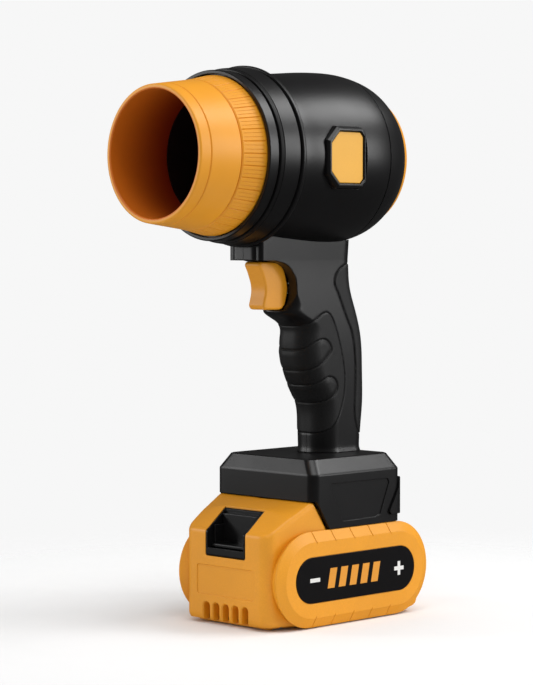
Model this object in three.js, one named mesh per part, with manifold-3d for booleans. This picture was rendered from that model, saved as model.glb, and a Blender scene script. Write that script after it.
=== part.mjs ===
// Handheld cordless turbo blower: a barrel fan over a pistol handle, standing on a slide-on battery pack.
// Millimetres, +Z up. z = 0 is the face that the pack stands on, x = 0 is the plane of symmetry,
// y = 0 is the centre of the foot, and the nozzle points to -Y.
import * as THREE from "three";
import { mergeVertices } from "three/addons/utils/BufferGeometryUtils.js";
import { ConvexGeometry } from "three/addons/geometries/ConvexGeometry.js";
import Module from "manifold-3d";

const wasm = await Module();
wasm.setup();

// ---------------------------------------------------------------- driving dimensions
const AXIS_Z = 282; // height of the barrel's axis
const GAP = 0.3; // clearance between neighbouring pieces
const WALL = 2.4; // thickness of the moulded walls
const FACETS = 32; // sides of the large round pieces
const SMALL_FACETS = 16; // sides of the small round pieces

const NOZZLE = { rimY: -129.7, grooveY: -122.2, ringY: -100.5, backY: -82.2, plugY: -69 };
const NOZZLE_RADIUS = { rim: 40.5, groove: 41.3, ring: 44.2, back: 47.8, bore: 37.8, sleeve: 42 };
const COLLAR = { frontY: -84.3, backY: -57.2, ringRadius: 50.6, lipRadius: 54.3 };
const BARREL = { frontY: -56.9, shellY: 18.3, endY: 41, guardY: 47.2 };
const DUCT = { frontY: -83, jointY: -47, backY: 34, inner: 38.3, outer: 39.9 };
const POD = { inner: 18.3, outer: 20.3, frontY: -46, backY: -2 };
const SHAFT_RADIUS = 2.5;
const SHAFT_END_Y = 31;
const IMPELLER = { frontY: 3, backY: 25, hub: 19.5, tip: 37, blades: 9 };
const BADGE = { frontY: -34.6, backY: -7.3, halfHeight: 15.2, chamfer: 7, rim: 3.4, faceX: 53.1 };

const NECK = { halfWidth: 14, frontY: -56, backY: 25.4, bottomZ: 219.8, topZ: 246 };
const NOSE = { halfWidth: 11.5, frontY: -58.4, topZ: 238 };
const HANDLE_BASE_Z = 100.8; // the full handle starts here, just above the foot's top plate
const SLOT_HALF_WIDTH = 7.4; // slot in the handle's front wall that the trigger runs in
const TRIGGER = { halfWidth: 6.8, backY: -25.4, stemRadius: 2, stemZ: 202.5 };
const SWITCH_FRONT_Y = -14;

const FOOT = { halfWidth: 41.5, halfLength: 38.5, frontZ: 75.6, shoulderZ: 91.7, topZ: 100.5 };
const FOOT_CORNER = 8; // radius of the foot's upright corners
const FOOT_WALL = 2.5;
const FOOT_TOP = { halfWidth: 35, halfLength: 34.7 };
const SKIRT_Z = 58.5; // lower edge of the foot's side skirts
const RUBBER_DEPTH = 1.4; // thickness of the grip's rubber
// How far the handle's section steps in where the foot's top plate holds it.
const FOOT_JOINT = { plateZ: 98, waist: 5, flange: 3.4, flangeZ: 94.5, bore: 7.2 };
const RAIL = { innerX: 30.6, bottomZ: 59.2, topZ: 63.3, frontY: -20 };

const PACK = { frontY: -71.3, backY: 58.5, noseHalf: 34.5, halfWidth: 41.2, flareY: -40, deckZ: 58.2 };
const PACK_BOTTOM_Z = 1; // lower edge of the pack's case; the base cover's pads reach down to z = 0
const HUMP = { shoulderZ: 57, ridgeY: -55, ridgeZ: 70.3, topY: -38.4, topZ: 75.2 };
const PANEL = { centreZ: 29.4, rootX: 33, rimX: 42, faceX: 44.7, frontY: -71, backY: 63.3 };
const PANEL_RADIUS = { root: 24.3, rim: 28.8, face: 22.7 };
const LABEL = { frontY: -56.7, backY: 48.3, radius: 13.7, faceX: 45 };
const CELL = { radius: 9.1, halfLength: 32.5, pitch: 18.5, firstY: -38.5, lowZ: 13.6, rise: 18.7 };
const CELL_COLUMNS = 5;
const LATCH = { halfWidth: 17.2, bottomZ: 41.5, backY: -55, wall: 1.5 };

// ---------------------------------------------------------------- finishes
const finish = (color, roughness, metalness = 0) => ({ color, roughness, metalness });
const ORANGE = finish(0xe9a52c, 0.42);
const DEEP_ORANGE = finish(0xb5561c, 0.5);
const BLACK = finish(0x1d1c1e, 0.45);
const RUBBER = finish(0x19181a, 0.75);
const LABEL_BLACK = finish(0x050506, 0.3);
const STEEL = finish(0xb9bcc0, 0.35, 1);
const COPPER = finish(0xc27a4a, 0.4, 1);
const CELL_BLUE = finish(0x2f6fae, 0.5);
const BOARD_GREEN = finish(0x1f6b3f, 0.6);

const scene = new THREE.Group();
const barrel = new THREE.Group(); // pieces made round the barrel's own axis
barrel.position.z = AXIS_Z;
scene.add(barrel);

// ---------------------------------------------------------------- geometry helpers
// A closed three.js geometry as a solid. Vertices are merged and flat triangles dropped, and the
// faces are turned round if they point inwards.
function solid(geometry) {
  const bare = geometry.index ? geometry.toNonIndexed() : geometry.clone();
  bare.deleteAttribute("normal");
  bare.deleteAttribute("uv");
  const merged = mergeVertices(bare, 1e-4);
  const position = merged.attributes.position;
  const corners = merged.index.array;
  const triangles = [];
  const [a, b, c] = [new THREE.Vector3(), new THREE.Vector3(), new THREE.Vector3()];
  let volume = 0;
  for (let i = 0; i < corners.length; i += 3) {
    const [p, q, r] = corners.slice(i, i + 3);
    if (p === q || q === r || r === p) continue;
    triangles.push([p, q, r]);
    a.fromBufferAttribute(position, p);
    b.fromBufferAttribute(position, q);
    c.fromBufferAttribute(position, r);
    volume += a.dot(b.cross(c));
  }
  const outward = volume < 0 ? triangles.map(([p, q, r]) => [p, r, q]) : triangles;
  const mesh = new wasm.Mesh({
    numProp: 3,
    vertProperties: new Float32Array(position.array),
    triVerts: new Uint32Array(outward.flat()),
  });
  return new wasm.Manifold(mesh);
}

// A solid back as a three.js geometry.
function geometryOf(manifold) {
  const mesh = manifold.getMesh();
  const geometry = new THREE.BufferGeometry();
  geometry.setAttribute("position", new THREE.BufferAttribute(mesh.vertProperties, 3));
  geometry.setIndex(new THREE.BufferAttribute(mesh.triVerts, 1));
  geometry.computeVertexNormals();
  return geometry;
}

function add(name, manifold, look, parent = scene) {
  const mesh = new THREE.Mesh(geometryOf(manifold), new THREE.MeshStandardMaterial(look));
  mesh.name = name;
  parent.add(mesh);
  return mesh;
}

const join = (...solids) => solids.reduce((whole, piece) => whole.add(piece));
const cut = (whole, ...pieces) => pieces.reduce((rest, piece) => rest.subtract(piece), whole);

// A ring or a body of revolution about the Y axis, from [radius, y] points in order.
function turned(points, facets = FACETS, closed = true) {
  const outline = points.map(([radius, y]) => new THREE.Vector2(radius, y));
  if (closed) outline.push(outline[0].clone());
  return new THREE.LatheGeometry(outline, facets);
}
const onBarrel = (geometry) => solid(geometry.translate(0, 0, AXIS_Z));

// A straight tube about Y between two faces, as a solid.
const tube = (inner, outer, y0, y1, facets = SMALL_FACETS) =>
  solid(turned([[inner, y0], [outer, y0], [outer, y1], [inner, y1]], facets));

// The axes that an outline's two coordinates and its depth run along.
const TURN = {
  x: new THREE.Matrix4().set(0, 0, 1, 0, 1, 0, 0, 0, 0, 1, 0, 0, 0, 0, 0, 1),
  y: new THREE.Matrix4().set(1, 0, 0, 0, 0, 0, -1, 0, 0, 1, 0, 0, 0, 0, 0, 1),
  z: new THREE.Matrix4(),
};

// An outline pushed along an axis: (y, z) along x, (x, z) along y or (x, y) along z.
function prism(axis, outline, from, to) {
  const shape = new THREE.Shape(outline.map((p) => new THREE.Vector2(...p)));
  const depth = to - from;
  const geometry = new THREE.ExtrudeGeometry(shape, { depth, bevelEnabled: false });
  geometry.translate(0, 0, axis === "y" ? -to : from);
  return solid(geometry.applyMatrix4(TURN[axis]));
}

function box(x0, x1, y0, y1, z0, z1) {
  const geometry = new THREE.BoxGeometry(x1 - x0, y1 - y0, z1 - z0);
  return solid(geometry.translate((x0 + x1) / 2, (y0 + y1) / 2, (z0 + z1) / 2));
}

// A round bar along x, y or z, centred on the other two coordinates.
function bar(axis, radius, from, to, centre, facets = 12) {
  const geometry = new THREE.CylinderGeometry(radius, radius, to - from, facets);
  geometry.translate(0, (from + to) / 2, 0);
  if (axis === "x") geometry.rotateZ(-Math.PI / 2).translate(0, centre[0], centre[1]);
  if (axis === "y") geometry.translate(centre[0], 0, centre[1]);
  if (axis === "z") geometry.rotateX(Math.PI / 2).translate(centre[0], centre[1], 0);
  return solid(geometry);
}

// The points of a polygon whose corners [u, v, radius] are rounded by arcs of a few steps.
function rounded(corners, steps = 3) {
  const points = [];
  corners.forEach(([u, v, radius = 0], i) => {
    const corner = new THREE.Vector2(u, v);
    const [pu, pv] = corners.at(i - 1);
    const [nu, nv] = corners[(i + 1) % corners.length];
    const toPrev = new THREE.Vector2(pu - u, pv - v).normalize();
    const toNext = new THREE.Vector2(nu - u, nv - v).normalize();
    if (radius <= 0) {
      points.push([u, v]);
      return;
    }
    const half = Math.acos(THREE.MathUtils.clamp(toPrev.dot(toNext), -1, 1)) / 2;
    const bisector = toPrev.clone().add(toNext).normalize();
    const centre = corner.clone().addScaledVector(bisector, radius / Math.sin(half));
    const start = corner.clone().addScaledVector(toPrev, radius / Math.tan(half)).sub(centre);
    const end = corner.clone().addScaledVector(toNext, radius / Math.tan(half)).sub(centre);
    let sweep = end.angle() - start.angle();
    if (sweep > Math.PI) sweep -= 2 * Math.PI;
    if (sweep < -Math.PI) sweep += 2 * Math.PI;
    for (let k = 0; k <= steps; k++) {
      const turnedPoint = start.clone().rotateAround(new THREE.Vector2(), (sweep * k) / steps);
      points.push([centre.x + turnedPoint.x, centre.y + turnedPoint.y]);
    }
  });
  return points;
}

const rectangle = (u0, u1, v0, v1, radius, steps = 3) =>
  rounded([[u0, v0, radius], [u1, v0, radius], [u1, v1, radius], [u0, v1, radius]], steps);

// A slot-shaped outline with full round ends along u.
const stadium = (u0, u1, v, radius) => rectangle(u0, u1, v - radius, v + radius, radius - 0.01, 8);

// A closed skin over rings of points that all have the same count, with flat ends.
function loft(rings) {
  const count = rings[0].length;
  const vertices = rings.flat().map((p) => new THREE.Vector3(...p));
  const triangles = [];
  for (let level = 0; level + 1 < rings.length; level++)
    for (let k = 0; k < count; k++) {
      const a = level * count + k;
      const b = level * count + ((k + 1) % count);
      triangles.push(a, b, b + count, a, b + count, a + count);
    }
  const last = (rings.length - 1) * count;
  for (let k = 1; k + 1 < count; k++) triangles.push(0, k + 1, k, last, last + k, last + k + 1);
  const geometry = new THREE.BufferGeometry().setFromPoints(vertices);
  geometry.setIndex(triangles);
  return solid(geometry);
}
const level = (outline, z) => outline.map(([x, y]) => [x, y, z]);
const station = (outline, x) => outline.map(([y, z]) => [x, y, z]);

// A closed outline moved outwards by a distance, for the clearance round an inlaid piece.
function grown(points, distance) {
  const area = points.reduce((sum, [u, v], i) => {
    const [nu, nv] = points[(i + 1) % points.length];
    return sum + u * nv - nu * v;
  }, 0);
  const side = Math.sign(area) * distance;
  return points.map(([u, v], i) => {
    const [pu, pv] = points.at(i - 1);
    const [nu, nv] = points[(i + 1) % points.length];
    const along = new THREE.Vector2(nu - pu, nv - pv).normalize();
    return [u + along.y * side, v - along.x * side];
  });
}

// A function that runs smoothly through [t, value] pairs given in order of t, and is level past its ends.
function through(pairs) {
  const curve = new THREE.SplineCurve(pairs.map(([t, value]) => new THREE.Vector2(t, value)));
  const samples = curve.getPoints(pairs.length * 12);
  return (asked) => {
    const t = THREE.MathUtils.clamp(asked, samples[0].x, samples.at(-1).x);
    let i = 1;
    while (i < samples.length - 1 && samples[i].x < t) i++;
    const [a, b] = [samples[i - 1], samples[i]];
    return a.y + ((b.y - a.y) * (t - a.x)) / (b.x - a.x);
  };
}

// The points [value(t), t] of such a function between two values of t.
function sampled(value, from, to, steps) {
  return Array.from({ length: steps + 1 }, (_, i) => {
    const t = from + ((to - from) * i) / steps;
    return [value(t), t];
  });
}

// A wire spring along a line, from its lower seat to its upper one.
class Coil extends THREE.Curve {
  constructor(radius, length, turns) {
    super();
    Object.assign(this, { radius, length, turns });
  }
  getPoint(t, target = new THREE.Vector3()) {
    const angle = 2 * Math.PI * this.turns * t;
    return target.set(this.radius * Math.cos(angle), this.radius * Math.sin(angle), this.length * t);
  }
}

function disc(radius, sides) {
  const points = Array.from({ length: sides }, (_, i) => {
    const angle = (2 * Math.PI * i) / sides;
    return new THREE.Vector2(radius * Math.cos(angle), radius * Math.sin(angle));
  });
  return new THREE.Shape(points);
}

const swept = (curve, radius, steps, sides = 6) =>
  new THREE.ExtrudeGeometry(disc(radius, sides), { extrudePath: curve, steps, bevelEnabled: false });

const spring = (radius, wire, length, turns) => swept(new Coil(radius, length, turns), wire, turns * 8, 5);

// A round wire through a list of points, as a solid.
function wire(points, radius, steps) {
  const knots = points.map((p) => new THREE.Vector3(...p));
  const route = new THREE.CatmullRomCurve3(knots, false, "centripetal");
  return solid(swept(route, radius, steps, 5));
}

// ---------------------------------------------------------------- nozzle and its twist ring
// The nozzle's plug goes into the casing's spigot, where three lugs turn behind a notched lip.
const SPIGOT = { inner: 42.3, outer: 44.6, frontY: -79, lipY: -76.3, grooveY: -70, groove: 43.9 };
const LUG = { outer: 43.6, frontY: -76, backY: -73.6, arc: 0.26, count: 3 };
const TWIST = THREE.MathUtils.degToRad(30); // turn that brings the lugs under the notches

// A sector of a ring about Y, centred on an angle.
function sector(inner, outer, y0, y1, angle, halfArc) {
  const steps = 4;
  const arc = (radius) =>
    Array.from({ length: steps + 1 }, (_, i) => {
      const turn = angle + halfArc * ((2 * i) / steps - 1);
      return [radius * Math.cos(turn), radius * Math.sin(turn)];
    });
  return prism("y", [...arc(outer), ...arc(inner).reverse()], y0, y1);
}

function makeNozzle() {
  const { rimY, grooveY, ringY, backY, plugY } = NOZZLE;
  const { rim, groove, ring, back, bore, sleeve } = NOZZLE_RADIUS;
  const profile = [
    [rim, rimY],
    [groove, grooveY - 0.4], [groove - 0.4, grooveY], [groove, grooveY + 0.4],
    [ring, ringY - 0.6], [ring - 0.4, ringY], [sleeve, ringY],
    [sleeve, plugY], [sleeve - 1.8, plugY], [sleeve - 1.8, DUCT.frontY - 1], [bore, DUCT.frontY - 1],
    [bore - 0.2, rimY],
  ];
  const lugs = Array.from({ length: LUG.count }, (_, i) =>
    sector(sleeve - 0.5, LUG.outer, LUG.frontY, LUG.backY, (2 * Math.PI * i) / LUG.count, LUG.arc),
  );
  add("nozzle", join(solid(turned(profile)), ...lugs), ORANGE, barrel);

  const grip = [
    [sleeve + GAP, ringY + GAP], [ring - 0.4, ringY + GAP], [ring + 0.1, ringY + 0.7],
    [back - 0.2, backY - 0.4], [back - 0.6, backY], [sleeve + GAP, backY],
  ];
  add("twist_ring", solid(turned(grip)), ORANGE, barrel);
}

// ---------------------------------------------------------------- collar, casing and rear end
// Outer radius of the barrel's casing along y, a long soft bulge that tucks in at both ends.
const barrelRadius = through([[-57, 48.6], [-36, 50.6], [-15, 52.1], [8, 52.2], [24, 49.6], [41, 42.8]]);

function makeCollar() {
  const { frontY, backY, ringRadius, lipRadius } = COLLAR;
  const bore = SPIGOT.outer + GAP;
  const mouth = NOZZLE_RADIUS.back + 0.5;
  const profile = [
    [mouth, frontY], [ringRadius - 0.5, frontY], [ringRadius, frontY + 0.6], [ringRadius, -77.2],
    [ringRadius - 1.8, -76.7], [ringRadius - 1.8, -76.1], [51.4, -75.8], [52, -73.6], [53.3, -61.9],
    [52.3, -61.3], [52.4, -60.5], [lipRadius, -60], [lipRadius, backY - 0.8], [lipRadius - 0.8, backY],
    [bore, backY], [bore, -60], [49.6, -60.5], [48.8, -72], [bore, -72.5], [bore, -81.4], [mouth, -81.4],
  ];
  add("collar_ring", solid(turned(profile)), BLACK, barrel);
}

// The handle's front and rear edges and half width at a height.
const handleFront = through([
  [94, 0], [118, -0.7], [131, -2.3], [144, -9.7], [157, -14.8], [172, -16.2], [182, -20.6], [188.2, -31],
  [191.4, -28.8], [196, -25.9], [202.5, -25.1], [209.5, -26.3], [215, -30.6], [218.4, -38], [219.9, -46],
]);
const handleRear = through([
  [94, 35.3], [113, 35.5], [130, 37.1], [150, 36.9], [172, 35.6], [189.5, 30.8], [202, 26.8], [214, 25.8],
  [232, 25.6],
]);
const handleHalf = through([[94, 15], [130, 15.5], [170, 15.5], [200, 14.6], [220, 14], [232, 14]]);
const handleFrontRadius = through([[94, 9], [160, 9], [182, 10], [188, 10], [196, 3], [220, 2.5]]);

function handleSection(z, inset) {
  const half = handleHalf(z) - inset;
  const front = handleFront(z) + inset;
  const rear = handleRear(z) - inset;
  const frontRadius = Math.max(handleFrontRadius(z) - inset, 0.4);
  const rearRadius = Math.max(9 - inset, 0.4);
  const corners = [
    [-half, front, frontRadius], [half, front, frontRadius],
    [half, rear, rearRadius], [-half, rear, rearRadius],
  ];
  return level(rounded(corners), z);
}

// Heights of the handle's sections, closest where its front edge bends most.
const HANDLE_LEVELS = [
  118, 131, 144, 157, 172, 181, 185.5, 188.2, 191.4, 196, 202.5, 209.5, 215, 218.4, 219.9,
];
const BORE_LEVELS = [118, 144, 172, 185.5, 191.4, 202.5, 215, 219.9];
const HANDLE_TOP_Z = 226; // inside the neck
const handle = (inset, fromZ, levels = HANDLE_LEVELS) =>
  loft([fromZ, ...levels, HANDLE_TOP_Z].map((z) => handleSection(z, inset)));

// The outlines of the rubber overmoulds seen from the side, in (y, z). Both wrap round their edge.
const smoothOutline = (points, steps) => {
  const curve = new THREE.SplineCurve(points.map((p) => new THREE.Vector2(...p)));
  return curve.getPoints(steps).map((p) => [p.x, p.y]);
};
const FRONT_RUBBER_EDGE = [
  [-34, 176.6], [-18, 179.1], [-2, 187.3], [7, 181], [15.5, 154], [13.5, 129], [1, 113.4], [-20, 112.4],
];
const REAR_RUBBER_EDGE = [
  [23, 218], [9, 209.5], [11, 199], [23, 174], [25.8, 144], [25.6, 124], [31.5, 111.6],
];
const FRONT_RUBBER = [...smoothOutline(FRONT_RUBBER_EDGE, 22), [-45, 112.4], [-45, 176.4]];
const REAR_RUBBER = [...smoothOutline(REAR_RUBBER_EDGE, 16), [50, 111.6], [50, 218]];

// [y, z] of the screws that hold the two halves together.
const CASE_SCREWS = [[-49, 226], [17.4, 226.5], [9, 178], [12, 120]];
const SCREW = { shank: 1.5, head: 3, headX: -11.4, seatX: -9, tipX: 9 };

// A solid of revolution about the barrel's axis, from [radius, y] points closed by flat ends.
function plug(points, facets = FACETS) {
  return onBarrel(turned([[0, points[0][1]], ...points, [0, points.at(-1)[1]]], facets, false));
}

function casingSolid() {
  const outer = plug(sampled(barrelRadius, BARREL.frontY, BARREL.shellY, 6));
  const inside = sampled((y) => barrelRadius(y) - WALL, BARREL.frontY + WALL, BARREL.shellY, 4);
  const hollow = plug([...inside, [barrelRadius(BARREL.shellY) - WALL, BARREL.shellY + 1]]);
  const { inner, outer: around, frontY, lipY, grooveY, groove } = SPIGOT;
  const spigot = onBarrel(
    turned([
      [inner, frontY], [around, frontY], [around, BARREL.frontY + 1], [inner, BARREL.frontY + 1],
      [inner, grooveY], [groove, grooveY], [groove, lipY], [inner, lipY],
    ]),
  );
  const mouth = plug([[inner, frontY], [inner, -50]]);
  const notches = Array.from({ length: LUG.count }, (_, i) =>
    sector(inner - 1, groove, frontY - 1, lipY + 1, (2 * Math.PI * i) / LUG.count + TWIST, LUG.arc + 0.03),
  ).map((notch) => notch.translate(0, 0, AXIS_Z));

  const neckPlan = (inset, radius) => {
    const half = NECK.halfWidth - inset;
    return rectangle(-half, half, NECK.frontY + inset, NECK.backY - inset, radius);
  };
  const nosePlan = rectangle(-NOSE.halfWidth, NOSE.halfWidth, NOSE.frontY, -40, 3);
  const neck = prism("z", neckPlan(0, 5), NECK.bottomZ, NECK.topZ);
  const nose = prism("z", nosePlan, NECK.bottomZ, NOSE.topZ);
  const neckInside = prism("z", neckPlan(WALL, 3), NECK.bottomZ + WALL, AXIS_Z - DUCT.outer);
  // Two ribs inside the barrel hold the duct.
  const ribs = [-50, 10].map((y) => {
    const [low, high] = [DUCT.outer + GAP, barrelRadius(y) - 1];
    return onBarrel(turned([[low, y], [high, y], [high, y + 2], [low, y + 2]]));
  });

  // The handle is cut back where the rubber lies, and ends below in a flange that the foot's plate holds.
  const clearance = [FRONT_RUBBER, REAR_RUBBER].map((outline) => prism("x", grown(outline, GAP), -30, 30));
  const grip = join(cut(handle(0, HANDLE_BASE_Z), ...clearance), handle(RUBBER_DEPTH + GAP, HANDLE_BASE_Z));
  const waist = loft([96, HANDLE_BASE_Z + 1].map((z) => handleSection(z, FOOT_JOINT.waist)));
  const flangeLevels = [FOOT_JOINT.flangeZ, FOOT_JOINT.plateZ - GAP];
  const flange = loft(flangeLevels.map((z) => handleSection(z, FOOT_JOINT.flange)));
  const bore = join(
    handle(RUBBER_DEPTH + GAP + 2, HANDLE_BASE_Z + 3, BORE_LEVELS),
    loft([90, HANDLE_BASE_Z + 4].map((z) => handleSection(z, FOOT_JOINT.bore))),
  );

  // The neck and nose stop short of the collar in front and of the rear shell behind.
  const collarRoom = plug([[COLLAR.lipRadius + GAP, -90], [COLLAR.lipRadius + GAP, BARREL.frontY]]);
  const shellRoom = plug(sampled((y) => barrelRadius(y) + GAP, BARREL.shellY, BARREL.endY, 4));
  const skin = cut(join(outer, cut(join(neck, nose), collarRoom, shellRoom)), mouth);
  const bosses = CASE_SCREWS.map((centre) => bar("x", 3.9, -13, 13, centre));
  const holes = CASE_SCREWS.map((centre) =>
    join(
      bar("x", SCREW.shank + GAP, SCREW.seatX - 1, SCREW.tipX + GAP, centre),
      bar("x", SCREW.head + GAP, -20, SCREW.seatX, centre),
    ),
  );
  const slot = box(-SLOT_HALF_WIDTH, SLOT_HALF_WIDTH, -60, -8, 189.4, NECK.bottomZ);
  const walls = cut(join(skin, grip, waist, flange), hollow, neckInside, bore, slot);
  const fitted = join(walls, spigot, ...ribs.map((rib) => cut(rib, neckInside)), ...bosses);
  return cut(fitted, ...holes, ...notches, badgePocket(1), badgePocket(-1));
}

function makeCasing() {
  const whole = casingSolid();
  const right = whole.intersect(box(GAP / 2, 80, -200, 200, 0, 400));
  const left = whole.intersect(box(-80, -GAP / 2, -200, 200, 0, 400));
  add("casing_right", right, BLACK);
  add("casing_left", left, BLACK);

  const skin = cut(handle(0, HANDLE_BASE_Z), handle(RUBBER_DEPTH, HANDLE_BASE_Z - 1));
  add("grip_front_rubber", skin.intersect(prism("x", FRONT_RUBBER, -30, 30)), RUBBER);
  add("grip_rear_rubber", skin.intersect(prism("x", REAR_RUBBER, -30, 30)), RUBBER);

  CASE_SCREWS.forEach((centre, i) => {
    const { shank, head, headX, seatX, tipX } = SCREW;
    const socket = bar("x", 1.5, headX - 1, headX + 1.2, centre, 6);
    const cap = bar("x", head, headX, seatX - GAP, centre);
    const thread = bar("x", shank, seatX - 1, tipX, centre, 8);
    add(`case_screw_${i + 1}`, cut(join(cap, thread), socket), STEEL);
  });
}

// The badge's octagon in (y, z), with deep chamfers at its front corners.
function badgeOutline(margin) {
  const { frontY, backY, halfHeight, chamfer } = BADGE;
  const [front, back, half] = [frontY - margin, backY + margin, halfHeight + margin];
  const lead = chamfer + margin * 0.4;
  const trail = 2.6 + margin * 0.4;
  const upper = [[front, half - lead], [front + lead, half], [back - trail, half], [back, half - trail]];
  const lower = upper.map(([y, z]) => [y, -z]).reverse();
  return [...upper, ...lower].map(([y, z]) => [y, AXIS_Z - 0.8 + z]);
}
const BADGE_SEAT_X = 45.6; // depth of the pocket that the badge sits in
const sideways = (side, outline, from, to) =>
  side > 0 ? prism("x", outline, from, to) : prism("x", outline, -to, -from);
const badgePocket = (side) => sideways(side, badgeOutline(BADGE.rim), BADGE_SEAT_X + 1.6, 60);

function makeBadges() {
  for (const [word, side] of [["right", 1], ["left", -1]]) {
    const tray = sideways(side, badgeOutline(BADGE.rim - GAP), BADGE_SEAT_X + 1.9, BADGE.faceX);
    const well = sideways(side, badgeOutline(GAP), BADGE.faceX - 2.6, 60);
    const plate = sideways(side, badgeOutline(0), BADGE.faceX - 2.3, BADGE.faceX - 0.9);
    add(`badge_frame_${word}`, cut(tray, well), BLACK);
    add(`badge_plate_${word}`, plate, ORANGE);
  }
}

function makeRearEnd() {
  const { shellY, endY, guardY } = BARREL;
  const front = shellY + 0.4;
  const outside = sampled(barrelRadius, front, endY, 4);
  const inside = sampled((y) => barrelRadius(y) - WALL, front + 3, endY - WALL, 2).reverse();
  const lipRadius = barrelRadius(13) - WALL - 1.2;
  const lip = [[lipRadius - 1.6, front + 3], [lipRadius - 1.6, 13], [lipRadius, 13], [lipRadius, front]];
  const seat = DUCT.inner + 0.1;
  const shell = [...outside, [seat, endY], [seat, endY - WALL], ...inside, ...lip];
  add("rear_shell", solid(turned(shell)), BLACK, barrel);

  const ring = [[36, endY + GAP], [42.6, endY + GAP], [41.6, guardY - 3], [38.8, guardY], [36, guardY]];
  add("rear_guard_ring", solid(turned(ring)), ORANGE, barrel);
  add("rear_guard", guardSolid(), BLACK, barrel);
}

// The intake grille: rings at steps of a shallow dome, joined by radial spokes to a rim and a boss.
const GUARD = { rim: 35.7, baseY: 42, rise: 8, thickness: 2.2, spokes: 8, boss: 6.5 };
const GUARD_RINGS = [12, 19.5, 27]; // inner radius of each ring
const domeY = (radius) => GUARD.baseY + GUARD.rise * (1 - (radius / GUARD.rim) ** 2);

function guardSolid() {
  const { rim, baseY, thickness, spokes, boss } = GUARD;
  const band = (inner, outer) => {
    const y = domeY((inner + outer) / 2);
    return tube(inner, outer, y, y + thickness, 20);
  };
  const frame = tube(rim - 3, rim, baseY - 0.4, baseY + 4, 28);
  const hub = tube(0, boss, domeY(0) - 0.5, domeY(0) + 2.4, 12);
  const radii = [0, 12, 23, rim - 1.5];
  const spokeOutline = [
    ...radii.map((r) => [r, domeY(r)]),
    ...radii.map((r) => [r, domeY(r) + thickness]).reverse(),
  ];
  const spoke = (angle) => {
    const shape = new THREE.Shape(spokeOutline.map((p) => new THREE.Vector2(...p)));
    const geometry = new THREE.ExtrudeGeometry(shape, { depth: 1.8, bevelEnabled: false });
    return solid(geometry.translate(0, 0, -0.9).rotateY(angle));
  };
  const arms = Array.from({ length: spokes }, (_, i) => spoke((2 * Math.PI * (i + 0.5)) / spokes));
  return join(frame, hub, ...GUARD_RINGS.map((r) => band(r, r + 1.8)), ...arms);
}

// ---------------------------------------------------------------- duct, motor and impeller
// A flat blade that stands on the hub along +X and is twisted about its own length.
function blade(rootRadius, tipRadius, chord, thickness, rootPitch, tipPitch, midY) {
  const length = tipRadius - rootRadius;
  const geometry = new THREE.BoxGeometry(length, chord, thickness, 2, 1, 1).translate(length / 2, 0, 0);
  const position = geometry.attributes.position;
  for (let i = 0; i < position.count; i++) {
    const reach = position.getX(i) / length;
    const pitch = rootPitch + (tipPitch - rootPitch) * reach;
    const [y, z] = [position.getY(i), position.getZ(i)];
    position.setY(i, y * Math.cos(pitch) - z * Math.sin(pitch) + midY);
    position.setZ(i, y * Math.sin(pitch) + z * Math.cos(pitch));
    position.setX(i, position.getX(i) + rootRadius);
  }
  return geometry;
}

const LEAD_DUCT = { halfWidth: 3.4, y0: -38, y1: -22 }; // hollow strut under the pod for the motor's lead

function makeDuct() {
  const { inner, outer, frontY, jointY, backY } = DUCT;
  add("duct_sleeve", tube(inner, outer, frontY, jointY - GAP, FACETS), BLACK, barrel);
  const wall = tube(inner, outer, jointY, backY, FACETS);
  const pod = tube(POD.inner, POD.outer, POD.frontY, POD.backY, 24);
  const bulkhead = tube(8.8, POD.outer - 0.5, POD.backY - 1.6, POD.backY, 24);
  const vanes = Array.from({ length: 7 }, (_, i) => {
    const angle = Math.PI / 2 + (2 * Math.PI * i) / 7;
    return solid(blade(POD.outer - 1, outer - 0.9, 30, 2, 0.12, 0.3, -24).rotateY(-angle));
  });
  const { halfWidth, y0, y1 } = LEAD_DUCT;
  const strut = box(-halfWidth, halfWidth, y0, y1, -(outer - 0.6), -(POD.outer - 1));
  const channel = box(1.2 - halfWidth, halfWidth - 1.2, y0 + 5, y1 - 5, -(outer + 2), -(POD.inner - 1.5));
  add("stator_duct", cut(join(wall, pod, bulkhead, strut, ...vanes), channel), BLACK, barrel);

  const baseY = POD.frontY - GAP;
  const nose = [[0, -82], [7, -80.6], [13, -77], [17, -70.5], [19.4, -60], [POD.outer, baseY]];
  const hollow = [[POD.outer - 2, baseY], [17.6, -60], [15, -70], [11, -75.6], [6, -78.8], [0, -80]];
  add("tail_cone", solid(turned([...nose, ...hollow], 24, false)), DEEP_ORANGE, barrel);
}

const MOTOR = { frontY: -44, backY: -4.4, radius: 18, pocket: 8.3, cavity: 11.6, shoulder: 6, bearing: 5 };

function makeMotor() {
  const { frontY, backY, radius, pocket, cavity, shoulder, bearing } = MOTOR;
  const seatFront = frontY + bearing + 0.6;
  const seatBack = backY - bearing - 0.6;
  const body = [
    [pocket, frontY], [radius, frontY], [radius, backY], [pocket, backY], [pocket, seatBack],
    [shoulder, seatBack], [shoulder, seatBack - 2],
    [cavity, seatBack - 2], [cavity, seatFront + 2], [shoulder, seatFront + 2],
    [shoulder, seatFront], [pocket, seatFront],
  ];
  add("motor_case", solid(turned(body, SMALL_FACETS)), STEEL, barrel);
  const bore = SHAFT_RADIUS + GAP;
  const race = pocket - GAP;
  add("bearing_front", tube(bore, race, seatFront - GAP - bearing, seatFront - GAP), STEEL, barrel);
  add("bearing_rear", tube(bore, race, seatBack + GAP, seatBack + GAP + bearing), STEEL, barrel);
  add("rotor", tube(bore, cavity - 0.4, seatFront + 3, seatBack - 3), COPPER, barrel);
  add("motor_shaft", tube(0, SHAFT_RADIUS, frontY - 1, SHAFT_END_Y, 12), STEEL, barrel);
}

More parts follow.
